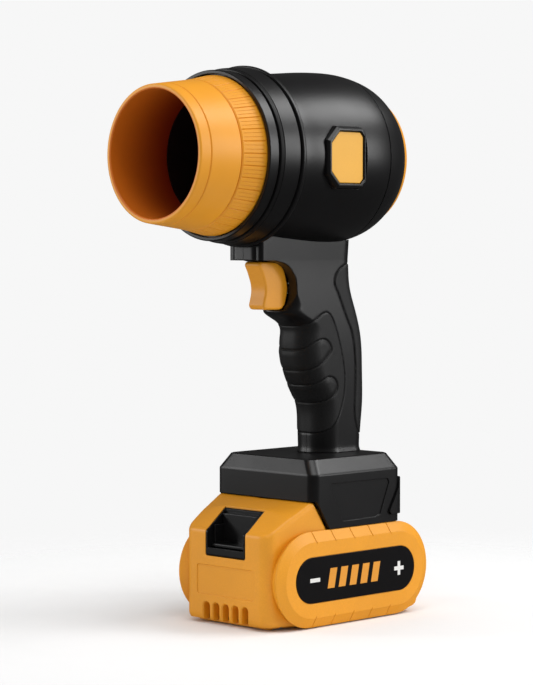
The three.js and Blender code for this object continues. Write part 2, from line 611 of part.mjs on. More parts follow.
function makeImpeller() {
  const { frontY, backY, hub, tip, blades } = IMPELLER;
  const bore = SHAFT_RADIUS + GAP;
  const floorY = frontY + 6;
  const cup = [
    [bore, floorY], [hub - 2.5, floorY], [hub - 2.5, frontY], [hub, frontY], [hub, backY], [bore, backY],
  ];
  const wings = Array.from({ length: blades }, (_, i) => {
    const geometry = blade(hub - 1, tip, 20, 1.8, 0.62, 1.02, (frontY + backY) / 2 + 1);
    return solid(geometry.rotateY((2 * Math.PI * i) / blades));
  });
  add("impeller", join(solid(turned(cup, 24)), ...wings), BLACK, barrel);
  const spinner = [
    [bore, backY + GAP], [hub, backY + GAP], [hub - 1, backY + 5], [hub - 6, backY + 10],
    [7, backY + 13], [0, backY + 13.6], [0, SHAFT_END_Y + GAP], [bore, SHAFT_END_Y + GAP],
  ];
  add("spinner_cone", solid(turned(spinner, 24)), DEEP_ORANGE, barrel);
}

function makeMotorLead() {
  const route = [
    [0, 25.5, 92.5], [0, 25.8, 104], [0, 27.5, 130], [0, 27.5, 158], [0, 24, 182], [0, 17, 200],
    [0, 14, 214], [0, 8, 225], [0, 1, 235], [0, -12, 237], [0, -24, 237.2], [0, -29.8, 241], [0, -30, 248],
    [0, -30, AXIS_Z - 19.6],
  ];
  add("motor_lead", wire(route, 1.5, 32), RUBBER);
}

// ---------------------------------------------------------------- trigger and switch
function makeTrigger() {
  const { halfWidth, backY, stemRadius, stemZ } = TRIGGER;
  const front = [[-50, 218.8], [-45.3, 210], [-43.7, 202.5], [-44.4, 196], [-46, 191.4]];
  const back = [
    [-43.5, 190], [-31, 190.2], [-26.6, 195], [backY, 202.4], [-27.6, 210.2], [-36, 217.8], [-44, 218.9],
  ];
  const outline = [...smoothOutline(front, 10), ...smoothOutline(back, 14)];
  const lever = prism("x", outline, -halfWidth, halfWidth);
  const padY = backY + 1.4;
  const pad = box(-5, 5, -32, padY, stemZ - 4, stemZ + 4);
  const stem = bar("y", stemRadius, -28, -16, [0, stemZ]);
  add("trigger", join(lever, pad, stem), ORANGE);

  const wireRadius = 0.45;
  const length = SWITCH_FRONT_Y - padY - 2 * GAP - 2 * wireRadius;
  const coil = spring(3.2, wireRadius, length, 4).rotateX(-Math.PI / 2);
  add("trigger_spring", solid(coil.translate(0, padY + GAP + wireRadius, stemZ)), STEEL);

  const body = box(-8.5, 8.5, SWITCH_FRONT_Y, 9, 191.5, 215.5);
  const bore = bar("y", stemRadius + 0.6, SWITCH_FRONT_Y - 1, -7.5, [0, stemZ]);
  const ears = box(-10.2, 10.2, -4, 0, 193, 196);
  add("switch_module", cut(join(body, ears), bore), BLACK);
}

// ---------------------------------------------------------------- foot and its electrics
function footSection(z, halfWidth, halfLength, inset) {
  const [half, length] = [halfWidth - inset, halfLength - inset];
  return level(rectangle(-half, half, -length, length, Math.max(FOOT_CORNER - inset, 1), 4), z);
}

function footBlock(inset, fromZ) {
  const { halfWidth, halfLength, shoulderZ, topZ } = FOOT;
  return loft([
    footSection(fromZ, halfWidth, halfLength, inset),
    footSection(shoulderZ - inset * 0.4, halfWidth, halfLength, inset),
    footSection(topZ - inset, FOOT_TOP.halfWidth, FOOT_TOP.halfLength, inset),
  ]);
}

const SKIRT_OUTLINE = [
  [-60, FOOT.frontZ], [-36, FOOT.frontZ], [-25.3, SKIRT_Z], [60, SKIRT_Z], [60, 120], [-60, 120],
];
const BLADE = { x: 12, halfThickness: 0.4, frontY: 8, backY: 32.6, bottomZ: 64.5, topZ: 69.2 };

function makeFoot() {
  const { halfWidth, halfLength } = FOOT;
  const outside = footBlock(0, SKIRT_Z - 1).intersect(prism("x", SKIRT_OUTLINE, -60, 60));
  const { innerX, bottomZ, topZ, frontY } = RAIL;
  const rails = [[innerX, halfWidth - 1], [1 - halfWidth, -innerX]].map(([x0, x1]) =>
    box(x0, x1, frontY, halfLength - 1, bottomZ, topZ).intersect(footBlock(0.5, SKIRT_Z - 1)),
  );
  const postCentres = [[-24, -22], [24, -22], [-24, 22], [24, 22]];
  const posts = postCentres.map((centre) => bar("z", 2.6, 91.3, 98.6, centre));
  const mouth = loft([90, 110].map((z) => handleSection(z, FOOT_JOINT.waist - GAP)));
  const shell = cut(outside, footBlock(FOOT_WALL, SKIRT_Z - 2));
  add("foot_housing", cut(join(shell, ...rails, ...posts), mouth), BLACK);

  // The rear band wraps round the foot's back, with a slanted ear on each side.
  const around = (grow) => {
    const [half, length] = [halfWidth + grow, halfLength + grow];
    return prism("z", rectangle(-half, half, -length, length, FOOT_CORNER + grow, 4), 50, 100);
  };
  const bandCorners = [[60, 85.6], [38.4, 85.6, 2], [26.9, 65.2, 1], [28.6, 63.2, 1], [60, 63.2]];
  const bandOutline = rounded(bandCorners, 2);
  const band = prism("x", bandOutline, -60, 60).intersect(around(1.6));
  add("foot_rear_band", cut(band, around(GAP)), BLACK);

  const { x, halfThickness, frontY: tipY, backY, bottomZ: lowZ, topZ: highZ } = BLADE;
  const slots = [x, -x].map((at) =>
    box(at - halfThickness - GAP, at + halfThickness + GAP, 20, backY + GAP, lowZ - GAP, highZ + GAP),
  );
  const block = box(-26, 26, 26.4, halfLength - FOOT_WALL - GAP, 63.9, 76);
  add("terminal_block", cut(block, ...slots), BLACK);
  [["positive", x], ["negative", -x]].forEach(([pole, at]) => {
    add(`blade_${pole}`, box(at - halfThickness, at + halfThickness, tipY, backY, lowZ, highZ), COPPER);
  });

  const board = box(-28, 28, -28, 24, 89.3, 91);
  const sink = box(-20, 4, -20, 14, 82.5, 89.5);
  const capacitor = bar("z", 5, 78.5, 89.5, [15, -10]);
  add("controller_board", join(board, sink, capacitor), BOARD_GREEN);

  const route = [
    [5.5, 14, 92.2], [5.5, 14, 100], [5.5, 20, 116], [5, 19, 145], [4.5, 18, 178], [4.5, 14.5, 196],
    [4.5, 10.8, 204],
  ];
  add("switch_lead", wire(route, 1.2, 20), RUBBER);
}

// ---------------------------------------------------------------- battery pack
// The pack's outline from above, narrower at its front than where it meets the foot.
function packPlan(inset) {
  const { frontY, backY, noseHalf, halfWidth, flareY } = PACK;
  const [front, back, nose, half] = [frontY + inset, backY - inset, noseHalf - inset, halfWidth - inset];
  return rounded([
    [-nose, front, 8], [nose, front, 8],
    [half, flareY, 3], [half, back, 8],
    [-half, back, 8], [-half, flareY, 3],
  ]);
}
const packBlock = (steps) => loft(steps.map(([z, inset]) => level(packPlan(inset), z)));

// The hump in front of the foot: a crowned slope from the front face up to the foot's lower edge.
function humpSolid(inset) {
  const front = packPlan(inset).filter(([, y]) => y < PACK.flareY - 10);
  const { shoulderZ, ridgeY, ridgeZ, topY, topZ } = HUMP;
  const half = PACK.halfWidth - inset;
  const points = [
    ...front.map(([x, y]) => [x, y, 50]),
    ...front.map(([x, y]) => [x, y, shoulderZ - inset]),
    ...[-1, 1].flatMap((side) => [
      [side * (20 - inset / 2), ridgeY + inset, ridgeZ - inset],
      [side * (half - 0.4), topY + inset, topZ - inset],
      [side * (half - 0.4), topY + 2.1 - inset / 2, topZ - inset],
      [side * half, -25.7 - inset, PACK.deckZ],
      [side * half, -25.7 - inset, 50],
    ]),
  ];
  return solid(new ConvexGeometry(points.map((p) => new THREE.Vector3(...p))));
}

const BASE_SCREWS = [[-29, -56], [29, -56], [-29, 49.3], [29, 49.3]];
const VENTS = [-16.5, -8.3, 0, 8.3, 16.5]; // x of each vent in the front's lower edge
const VENT = { halfWidth: 2.7, topZ: 10.6, backY: -67.4 };

// A side bulge with full round ends, wide at its rim and narrower at its face.
function bulge() {
  const { centreZ, rootX, rimX, faceX, frontY, backY } = PANEL;
  const { root, rim, face } = PANEL_RADIUS;
  const ring = (x, radius) => {
    const shrink = rim - radius;
    return station(stadium(frontY + shrink, backY - shrink, centreZ, radius), x);
  };
  return loft([ring(rootX, root), ring(rimX - 0.8, rim), ring(rimX, rim), ring(faceX, face)]);
}

function makeBatteryCase() {
  const body = packBlock([[PACK_BOTTOM_Z, 3], [2.4, 1.4], [6, 0], [PACK.deckZ, 0]]);
  const inside = packBlock([[3.7, 4.6], [6.5, 2.5], [PACK.deckZ - WALL, 2.5]]);
  const head = join(box(-30, 30, -22, 24, PACK.deckZ - 1, 64), box(-35, 35, -22, 24, 63.8, 70));
  const headInside = box(-8, 8, -19, 21, 50, 67.5);
  const outside = join(body, humpSolid(0));
  const posts = BASE_SCREWS.map((centre) => bar("z", 2.9, 3.7, 72, centre).intersect(outside));
  const ventWall = box(-21, 21, PACK.frontY + 1, -64.5, 3.7, 15.5);
  const { halfWidth: ventHalf, topZ: ventZ, backY: ventY } = VENT;
  const vents = VENTS.map((x) =>
    join(
      box(x - ventHalf, x + ventHalf, -80, ventY, -1, ventZ),
      bar("y", ventHalf, -80, ventY, [x, ventZ]),
    ),
  );
  const panel = box(-24.5, 24.5, -80, PACK.frontY + 0.5, 18, 35.8);
  const latchMouth = box(-LATCH.halfWidth, LATCH.halfWidth, -80, LATCH.backY, LATCH.bottomZ, 90);
  const toothSlot = box(-5.3, 5.3, -39, -20, 59.5, 90);
  const armSlot = box(-5, 5, LATCH.backY - 1, -48, 59.5, 66.5);
  const contactSlots = [BLADE.x, -BLADE.x].map((x) => box(x - 2.2, x + 2.2, 2, 30, 60.4, 80));
  const pilots = BASE_SCREWS.map((centre) => bar("z", 1.2 + GAP, 0, 14, centre));
  const hatch = packBlock([[0, 4.6], [5, 4.6]]);
  const shell = cut(outside, inside, humpSolid(3).intersect(box(-60, 60, -100, -28, 40, 90)));
  const fitted = join(shell, head, ...posts, ventWall);
  const openings = [...vents, panel, latchMouth, toothSlot, armSlot, ...contactSlots, ...pilots];
  add("battery_case", cut(fitted, headInside, hatch, ...openings), ORANGE);

  // The base cover closes the case from below and carries the pads that the blower stands on.
  const cover = packBlock([[PACK_BOTTOM_Z, 4.9], [3.4, 4.9]]);
  const pads = [
    ...[-1, 1].map((side) => box(side * 22.5 - 5.5, side * 22.5 + 5.5, -63, -59.6, 0, 1.5)),
    ...[-1, 1].map((side) => box(side * 24.5 - 5.5, side * 24.5 + 5.5, 37, 45, 0, 1.5)),
    bar("z", 14, 0, 1.5, [0, 0], 16),
  ];
  const recesses = BASE_SCREWS.map((centre) =>
    join(bar("z", 3 + GAP, -1, 2.2, centre), bar("z", 1.2 + GAP, 0, 5, centre)),
  );
  add("battery_base", cut(join(cover, ...pads), ...recesses), ORANGE);
  BASE_SCREWS.forEach(([x, y], i) => {
    const socket = bar("z", 1.3, 0, 1.6, [x, y], 6);
    const cap = bar("z", 3, 1.1, 2, [x, y]);
    const thread = bar("z", 1.2, 1.5, 12, [x, y], 8);
    add(`base_screw_${i + 1}`, cut(join(cap, thread), socket), STEEL);
  });
}

function makeSidePanels() {
  const around = packBlock([[-5, -GAP], [75, -GAP]]);
  const labelPlan = (grow) =>
    stadium(LABEL.frontY - grow, LABEL.backY + grow, PANEL.centreZ, LABEL.radius + grow);
  const recess = prism("x", labelPlan(GAP), PANEL.faceX - 2 * GAP, 60);
  const plate = cut(bulge(), around, recess);
  const mark = prism("x", labelPlan(0), PANEL.faceX - GAP, LABEL.faceX);
  add("side_panel_right", plate, ORANGE);
  add("side_panel_left", plate.mirror([1, 0, 0]), ORANGE);
  add("label_right", mark, LABEL_BLACK);
  add("label_left", mark.mirror([1, 0, 0]), LABEL_BLACK);
}

function makeBatteryInside() {
  const { radius, halfLength, pitch, firstY, lowZ, rise } = CELL;
  for (let i = 0; i < CELL_COLUMNS; i++) {
    const y = firstY + pitch * i;
    const cells = [lowZ, lowZ + rise].map((z) => bar("x", radius, -halfLength, halfLength, [y, z], 16));
    const strips = [-1, 1].map((side) => {
      const ends = [side * (halfLength - 0.2), side * (halfLength + 0.4)].sort((a, b) => a - b);
      return box(...ends, y - 3.5, y + 3.5, lowZ - 5, lowZ + rise + 5);
    });
    add(`cell_pair_${i + 1}`, join(...cells, ...strips), CELL_BLUE);
  }
  const board = box(-26, 26, -32, 44, 44.4, 46);
  const chips = [
    box(-18, -8, -20, -8, 45.5, 49),
    box(2, 18, 4, 12, 45.5, 48),
    box(-20, 20, 30, 36, 45.5, 51),
  ];
  add("bms_board", join(board, ...chips), BOARD_GREEN);
  [["positive", BLADE.x], ["negative", -BLADE.x]].forEach(([pole, x]) => {
    const clip = cut(box(x - 1.7, x + 1.7, 6, 18, 60.8, 69.5), box(x - 1.1, x + 1.1, 0, 30, 61.5, 80));
    add(`contact_clip_${pole}`, clip, COPPER);
  });
}

const SHELF_Z = 48; // top of the shelf that the latch spring stands on
const ARM_Z = 62.4; // underside of the latch button's arm

function makeLatch() {
  const half = LATCH.halfWidth - GAP;
  const front = PACK.frontY + GAP;
  const back = LATCH.backY - GAP;
  const floorZ = LATCH.bottomZ + GAP;
  const outline = [[front, floorZ], [back, floorZ], [back, 69.4], [front, HUMP.shoulderZ - GAP]];
  const wellHalf = half - LATCH.wall;
  const trayWell = box(-wellHalf, wellHalf, front + 1.4, back - LATCH.wall, floorZ + 1.2, 90);
  const trayFront = box(-wellHalf, wellHalf, front - 5, front + 2, floorZ + 4.7, 90);
  const armWindow = box(-4.5, 4.5, back - 5, back + 5, 58.6, 66.2);
  const shelf = box(-6, 6, back - 1, back + 9.5, SHELF_Z - 2.3, SHELF_Z);
  const tray = join(cut(prism("x", outline, -half, half), trayWell, trayFront, armWindow), shelf);
  add("latch_bezel", tray, BLACK);

  const reach = wellHalf - GAP;
  const plateY = back - LATCH.wall - GAP;
  const ledge = box(-reach, reach, front + 1.7, plateY, 46.8, 49);
  const backPlate = box(-reach, reach, plateY - 2.4, plateY, 46.8, 63);
  const cheeks = [[-reach, 1.4 - reach], [reach - 1.4, reach]].map(([x0, x1]) =>
    box(x0, x1, front + 4, back - 2, 48, 60),
  );
  const arm = box(-4, 4, back - 3, -33, ARM_Z, ARM_Z + 3);
  const tooth = box(-4, 4, -36.5, -33, 64, 73.4);
  add("latch_button", join(ledge, backPlate, ...cheeks, arm, tooth), BLACK);

  const wireRadius = 0.5;
  const coil = spring(3, wireRadius, ARM_Z - SHELF_Z - 2 * GAP - 2 * wireRadius, 5);
  add("latch_spring", solid(coil.translate(0, back + 5.2, SHELF_Z + GAP + wireRadius)), STEEL);
}

makeNozzle();
makeCollar();
makeCasing();
makeBadges();
makeRearEnd();
makeDuct();
makeMotor();
makeImpeller();
makeMotorLead();
makeTrigger();
makeFoot();
makeBatteryCase();
makeSidePanels();
makeBatteryInside();
makeLatch();

export default scene;
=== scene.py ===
"""A handheld cordless blower: barrel, twist-on nozzle, pistol handle, foot and slide-on battery pack."""

import math

import bmesh
import bpy
import numpy as np
from mathutils import Matrix, Vector


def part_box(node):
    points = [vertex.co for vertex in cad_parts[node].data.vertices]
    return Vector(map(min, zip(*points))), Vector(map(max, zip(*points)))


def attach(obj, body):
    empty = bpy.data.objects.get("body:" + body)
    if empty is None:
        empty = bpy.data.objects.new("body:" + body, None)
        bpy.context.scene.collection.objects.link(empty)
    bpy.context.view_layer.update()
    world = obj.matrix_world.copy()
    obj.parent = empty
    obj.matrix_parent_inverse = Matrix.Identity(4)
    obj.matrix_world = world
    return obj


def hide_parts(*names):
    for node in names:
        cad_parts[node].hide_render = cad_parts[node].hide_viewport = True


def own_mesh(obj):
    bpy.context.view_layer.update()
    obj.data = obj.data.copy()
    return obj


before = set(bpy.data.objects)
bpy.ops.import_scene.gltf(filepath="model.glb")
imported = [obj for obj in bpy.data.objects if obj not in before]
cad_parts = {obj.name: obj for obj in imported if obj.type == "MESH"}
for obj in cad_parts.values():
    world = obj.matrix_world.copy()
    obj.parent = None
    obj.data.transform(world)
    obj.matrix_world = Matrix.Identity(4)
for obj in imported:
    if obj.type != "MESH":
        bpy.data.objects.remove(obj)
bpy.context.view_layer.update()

# Sizes are worked out in millimetres, and meshes are made in metres.
MM = 0.001
AXIS_Z = 282.0  # height of the barrel's axis
TURNS = 256  # steps round a turned piece
SEAM = 0.06  # half the gap along the parting line between the two casing halves

barrel_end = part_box("rear_shell")[1].y / MM
nozzle_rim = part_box("nozzle")[0].y / MM
panel_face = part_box("side_panel_right")[1].x / MM
label_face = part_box("label_right")[1].x / MM


# ---------------------------------------------------------------- outlines
def spline(pairs):
    """A smooth function of t that runs through (t, value) pairs and is level past its ends."""
    t, v = np.array(pairs, float).T
    gap = np.diff(t)
    count = len(t)
    system = np.eye(count)
    right = np.zeros(count)
    for i in range(1, count - 1):
        system[i, i - 1 : i + 2] = gap[i - 1], 2 * (gap[i - 1] + gap[i]), gap[i]
        right[i] = 6 * ((v[i + 1] - v[i]) / gap[i] - (v[i] - v[i - 1]) / gap[i - 1])
    bend = np.linalg.solve(system, right)

    def value(asked):
        x = np.clip(np.asarray(asked, float), t[0], t[-1])
        i = np.clip(np.searchsorted(t, x) - 1, 0, count - 2)
        low, high = t[i + 1] - x, x - t[i]
        cubic = (bend[i] * low**3 + bend[i + 1] * high**3) / (6 * gap[i])
        return (
            cubic
            + (v[i] / gap[i] - bend[i] * gap[i] / 6) * low
            + (v[i + 1] / gap[i] - bend[i + 1] * gap[i] / 6) * high
        )

    return value


def eased(corners, closed=True, steps=6):
    """Straight lines between corners (u, v, radius), with each corner turned by an arc of that radius."""
    points = []
    count = len(corners)
    for i, corner in enumerate(corners):
        here = np.array(corner[:2], float)
        radius = corner[2] if len(corner) > 2 else 0
        if not radius or (not closed and i in (0, count - 1)):
            points.append(here)
            continue
        back = np.array(corners[i - 1][:2], float) - here
        ahead = np.array(corners[(i + 1) % count][:2], float) - here
        room = min(np.linalg.norm(back), np.linalg.norm(ahead)) / 2
        back /= np.linalg.norm(back)
        ahead /= np.linalg.norm(ahead)
        half = math.acos(max(-1.0, min(1.0, float(back @ ahead)))) / 2
        reach = min(radius / math.tan(half), 0.96 * room)
        radius = reach * math.tan(half)
        middle = (back + ahead) / np.linalg.norm(back + ahead)
        centre = here + middle * radius / math.sin(half)
        support = min(0.4 * radius, 0.8 * (room - reach))
        points.append(here + back * (reach + support))
        sweep = math.pi - 2 * half
        for k in range(steps + 1):
            # Directions from the centre run evenly from one tangent point to the other.
            turn = sweep * (k / steps - 0.5)
            side = np.array((-middle[1], middle[0]))
            if side @ back > 0:
                side = -side
            points.append(centre - radius * (middle * math.cos(turn) - side * math.sin(turn)))
        points.append(here + ahead * (reach + support))
    return np.array(points)


def smooth_path(points, steps):
    """A curve with centripetal spacing through the points, open at its ends."""
    p = np.array(points, float)
    p = np.vstack((2 * p[0] - p[1], p, 2 * p[-1] - p[-2]))
    out = []
    for i in range(1, len(p) - 2):
        p0, p1, p2, p3 = p[i - 1 : i + 3]
        t1, t2, t3 = np.cumsum([np.linalg.norm(b - a) ** 0.5 for a, b in ((p0, p1), (p1, p2), (p2, p3))])
        for t in np.linspace(t1, t2, steps, endpoint=False):
            a1 = (t1 - t) / t1 * p0 + t / t1 * p1
            a2 = (t2 - t) / (t2 - t1) * p1 + (t - t1) / (t2 - t1) * p2
            a3 = (t3 - t) / (t3 - t2) * p2 + (t - t2) / (t3 - t2) * p3
            b1 = (t2 - t) / t2 * a1 + t / t2 * a2
            b2 = (t3 - t) / (t3 - t1) * a2 + (t - t1) / (t3 - t1) * a3
            out.append((t2 - t) / (t2 - t1) * b1 + (t - t1) / (t2 - t1) * b2)
    out.append(p[-2])
    return np.array(out)


def anticlockwise(loop):
    u, v = loop[:, 0], loop[:, 1]
    area = np.sum(u * np.roll(v, -1) - np.roll(u, -1) * v)
    return loop if area > 0 else loop[::-1]


def inset(loop, distance):
    """An anticlockwise loop moved inwards by a distance, with mitred corners."""
    along = np.roll(loop, -1, 0) - loop
    along /= np.linalg.norm(along, axis=1)[:, None]
    inward = np.stack((-along[:, 1], along[:, 0]), 1)
    before = np.roll(inward, 1, 0)
    mitre = (before + inward) / (1 + np.sum(before * inward, 1))[:, None]
    return loop + mitre * distance


def rounded_rectangle(half_u, half_v, radius, centre=(0, 0), steps=8):
    signs = ((-1, -1), (1, -1), (1, 1), (-1, 1))
    corners = [(centre[0] + u * half_u, centre[1] + v * half_v, radius) for u, v in signs]
    return eased(corners, steps=steps)


def stadium(low, high, centre, radius, steps=24):
    """A slot outline with full round ends, from u = low to u = high."""
    turn = np.linspace(-math.pi / 2, math.pi / 2, steps)
    right = np.stack((high - radius + radius * np.cos(turn), centre + radius * np.sin(turn)), 1)
    left = np.stack((low + radius - radius * np.cos(turn), centre - radius * np.sin(turn)), 1)
    return np.vstack((right, left))


# ---------------------------------------------------------------- meshes
def piece(name, points, faces):
    """A mesh object from points in millimetres."""
    mesh = bpy.data.meshes.new(name)
    mesh.from_pydata((np.asarray(points, float) * MM).tolist(), [], faces)
    mesh.update()
    made = bpy.data.objects.new(name, mesh)
    bpy.context.scene.collection.objects.link(made)
    return made


def outward(made, merge=1e-7):
    """Merges doubles and turns every face of a closed shell outwards."""
    mesh = bmesh.new()
    mesh.from_mesh(made.data)
    bmesh.ops.remove_doubles(mesh, verts=mesh.verts, dist=merge)
    bmesh.ops.dissolve_degenerate(mesh, edges=mesh.edges, dist=merge)
    bmesh.ops.recalc_face_normals(mesh, faces=mesh.faces)
    mesh.to_mesh(made.data)
    mesh.free()
    return made


def grid_faces(rows, columns, wrap_rows=False):
    """Quads of a grid whose columns go round."""
    r, c = np.meshgrid(np.arange(rows if wrap_rows else rows - 1), np.arange(columns), indexing="ij")
    ahead, beside = (r + 1) % rows, (c + 1) % columns
    here, there = r * columns, ahead * columns
    return np.stack((here + c, here + beside, there + beside, there + c), -1).reshape(-1, 4).tolist()


def stacked(name, rings):
    """A closed skin over rings of equally many points, with flat ends."""
    rings = np.asarray(rings, float)
    rows, columns = rings.shape[:2]
    faces = grid_faces(rows, columns)
    faces.append(list(range(columns)))
    faces.append(list(range((rows - 1) * columns, rows * columns)))
    return outward(piece(name, rings.reshape(-1, 3), faces))


def round_rings(outline, turns):
    """A ring about the barrel's axis for each (y, radius) of an outline."""
    outline = np.asarray(outline, float)
    angle = np.linspace(0, 2 * math.pi, turns, endpoint=False)
    y, radius = outline[:, :1], outline[:, 1:]
    return np.stack((radius * np.cos(angle), y + 0 * angle, AXIS_Z + radius * np.sin(angle)), -1)


def turned(name, outline, turns=TURNS):
    """A closed outline of (y, radius) turned about the barrel's axis."""
    points = round_rings(outline, turns)
    return outward(piece(name, points.reshape(-1, 3), grid_faces(len(points), turns, wrap_rows=True)))


def core(name, outline):
    """A solid of revolution that reaches the axis: a (y, radius) outline between two flat ends."""
    return stacked(name, round_rings(outline, 192))


def on_side(loop, x):
    """A (y, z) loop placed at x."""
    return np.column_stack((np.full(len(loop), float(x)), loop))


def along_y(loop, y):
    """An (x, z) loop placed at y."""
    return np.column_stack((loop[:, 0], np.full(len(loop), float(y)), loop[:, 1]))


def along_z(loop, z):
    """An (x, y) loop placed at z."""
    return np.column_stack((loop, np.full(len(loop), float(z))))


def prism(name, loop, place, *depths):
    """A loop drawn straight through a list of depths."""
    return stacked(name, [place(loop, depth) for depth in depths])


def side_prism(name, loop, low=-40, high=40):
    """A (y, z) loop drawn from side to side."""
    return prism(name, anticlockwise(np.asarray(loop, float)), on_side, low, high)


def grown(loop, distance):
    return inset(anticlockwise(loop), -distance)


def disc_loop(centre, radius, steps=32):
    turn = np.linspace(0, 2 * math.pi, steps, endpoint=False)
    return np.column_stack((centre[0] + radius * np.cos(turn), centre[1] + radius * np.sin(turn)))


def slab(name, loop, low, high, edge=0.4, both=False, place=on_side, steps=4):
    """A loop between two depths with a rounded rim. Its low side is square unless both is set."""
    loop = anticlockwise(np.asarray(loop, float))
    quarter = np.linspace(0, math.pi / 2, steps + 1)
    upper = [(edge * (1 - math.cos(a)), high - edge * (1 - math.sin(a))) for a in quarter]
    steps_in = [(0, low)]
    if both:
        steps_in = [(edge * (1 - math.cos(a)), low + edge * (1 - math.sin(a))) for a in quarter[::-1]]
        steps_in.insert(0, (edge * 1.6, low))
    steps_in += upper + [(edge * 1.6, high)]
    return stacked(name, [place(inset(loop, inward), depth) for inward, depth in steps_in])


def block(name, x, y, z, edge=0.0):
    """A box between pairs of coordinates, with rounded edges if edge is set."""
    loop = np.array([(x[0], y[0]), (x[1], y[0]), (x[1], y[1]), (x[0], y[1])], float)
    if not edge:
        return prism(name, loop, along_z, *z)
    corners = eased([(*corner, edge) for corner in loop], steps=3)
    return slab(name, corners, *z, edge * 0.9, both=True, place=along_z, steps=3)


def rod(name, route, radii, sides=10):
    """A round bar along a list of points, with a radius at each."""
    route = np.asarray(route, float)
    along = np.gradient(route, axis=0)
    along /= np.linalg.norm(along, axis=1)[:, None]
    side = np.array((1.0, 0.0, 0.0)) if abs(along[0][0]) < 0.9 else np.array((0.0, 1.0, 0.0))
    turn = np.linspace(0, 2 * math.pi, sides, endpoint=False)
    rings = []
    for point, forward, radius in zip(route, along, radii):
        across = np.cross(forward, side)
        across /= np.linalg.norm(across)
        other = np.cross(forward, across)
        rings.append(point + radius * (np.outer(np.cos(turn), across) + np.outer(np.sin(turn), other)))
    return stacked(name, rings)


def settle(made):
    """Turns an object with modifiers into a plain mesh."""
    graph = bpy.context.evaluated_depsgraph_get()
    graph.update()
    final = bpy.data.meshes.new_from_object(made.evaluated_get(graph))
    made.modifiers.clear()
    made.data = final
    return made


def carve(body, *tools, how="DIFFERENCE"):
    """Cuts closed tools out of a body, or combines them with it, and removes the tools."""
    for tool in tools:
        modifier = body.modifiers.new("carve", "BOOLEAN")
        modifier.solver = "MANIFOLD"
        modifier.operation = how
        modifier.object = tool
        settle(body)
        bpy.data.objects.remove(tool)
    return body


def fuse(body, *parts):
    """Joins closed parts to a body."""
    return carve(body, *parts, how="UNION")


def twin(made, name):
    """A copy of a piece."""
    copy = made.copy()
    copy.data = made.data.copy()
    copy.name = name
    bpy.context.scene.collection.objects.link(copy)
    return copy


def mirrored(made, name):
    """A piece's mirror image across x = 0."""
    copy = twin(made, name)
    copy.data.transform(Matrix.Scale(-1, 4, (1, 0, 0)))
    copy.data.flip_normals()
    return copy


def half_of(made, name, side):
    """The part of a closed piece on one side of the parting line, closed again."""
    near, far = sorted((side * SEAM, side * 90.0))
    return carve(twin(made, name), block(name + "_half", (near, far), (-200, 200), (0, 400)), how="INTERSECT")


def finish_piece(made, material, body, nodes, angle=34):
    """Gives a piece its shading, finish and body, and hides the CAD nodes that it stands for."""
    made.data.shade_smooth()
    made.data.set_sharp_from_angle(angle=math.radians(angle))
    weighting = made.modifiers.new("weighting", "WEIGHTED_NORMAL")
    weighting.keep_sharp = True
    settle(made)
    made.data.materials.clear()
    made.data.materials.append(material)
    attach(made, body)
    if nodes:
        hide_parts(*([nodes] if isinstance(nodes, str) else nodes))


def finish_pair(made, name, material, body, node, angle):
    """Finishes a piece made on the right side, and its mirror image on the left."""
    for side, each in (("right", made), ("left", mirrored(made, name + "left"))):
        each.name = name + side
        finish_piece(each, material, body, node and node + side, angle)


def join_pieces(name, parts):
    """Several closed pieces in one mesh."""
    mesh = bmesh.new()
    for part in parts:
        mesh.from_mesh(part.data)
    made = parts[0]
    made.name = name
    mesh.to_mesh(made.data)
    mesh.free()
    for part in parts[1:]:
        bpy.data.objects.remove(part)
    return made


def netted(name, distance, low, high, pitch):
    """The surface where a distance function is zero, as quads about a pitch apart.

    Each cell that the surface passes through gets one point, which is then moved onto the surface.
    """
    axes = [np.arange(a - 2 * pitch, b + 3 * pitch, pitch) for a, b in zip(low, high)]
    value = distance(*np.meshgrid(*axes, indexing="ij"))
    inside = value < 0
    cells = tuple(n - 1 for n in value.shape)
    corner = lambda grid, i, j, k: grid[i : i + cells[0], j : j + cells[1], k : k + cells[2]]
    filled = sum(corner(inside, i, j, k).astype(np.int8) for i in (0, 1) for j in (0, 1) for k in (0, 1))
    active = (filled > 0) & (filled < 8)
    number = np.full(cells, -1)
    number[active] = np.arange(active.sum())
    at = np.argwhere(active)
    total, crossings = np.zeros((len(at), 3)), np.zeros(len(at))
    for axis in range(3):
        for shift in ((0, 0), (0, 1), (1, 0), (1, 1)):
            start = at.copy()
            start[:, [a for a in range(3) if a != axis]] += shift
            end = start.copy()
            end[:, axis] += 1
            first, last = value[tuple(start.T)], value[tuple(end.T)]
            cross = (first < 0) != (last < 0)
            share = np.where(cross, first / np.where(cross, first - last, 1), 0)
            place = start.astype(float)
            place[:, axis] += share
            total += place * cross[:, None]
            crossings += cross
    origin = np.array([a[0] for a in axes])
    points = origin + total / crossings[:, None] * pitch
    for _ in range(3):
        here = distance(*points.T)
        slope = np.stack([(distance(*(points + step).T) - here) / 1e-3 for step in np.eye(3) * 1e-3], 1)
        points -= slope * (here / np.maximum(np.sum(slope**2, 1), 1e-6))[:, None]
    quads = []
    for axis in range(3):
        one, two = [a for a in range(3) if a != axis]
        low_side = [slice(1, -1)] * 3
        low_side[axis] = slice(0, -1)
        high_side = list(low_side)
        high_side[axis] = slice(1, None)
        change = inside[tuple(low_side)] != inside[tuple(high_side)]
        cell = np.argwhere(change)
        cell[:, one] += 1
        cell[:, two] += 1
        ring = []
        for a, b in ((-1, -1), (0, -1), (0, 0), (-1, 0)):
            beside = cell.copy()
            beside[:, one] += a
            beside[:, two] += b
            ring.append(number[tuple(beside.T)])
        quads.append(np.stack(ring, 1))
    return outward(piece(name, points, np.vstack(quads).tolist()), 1e-6)


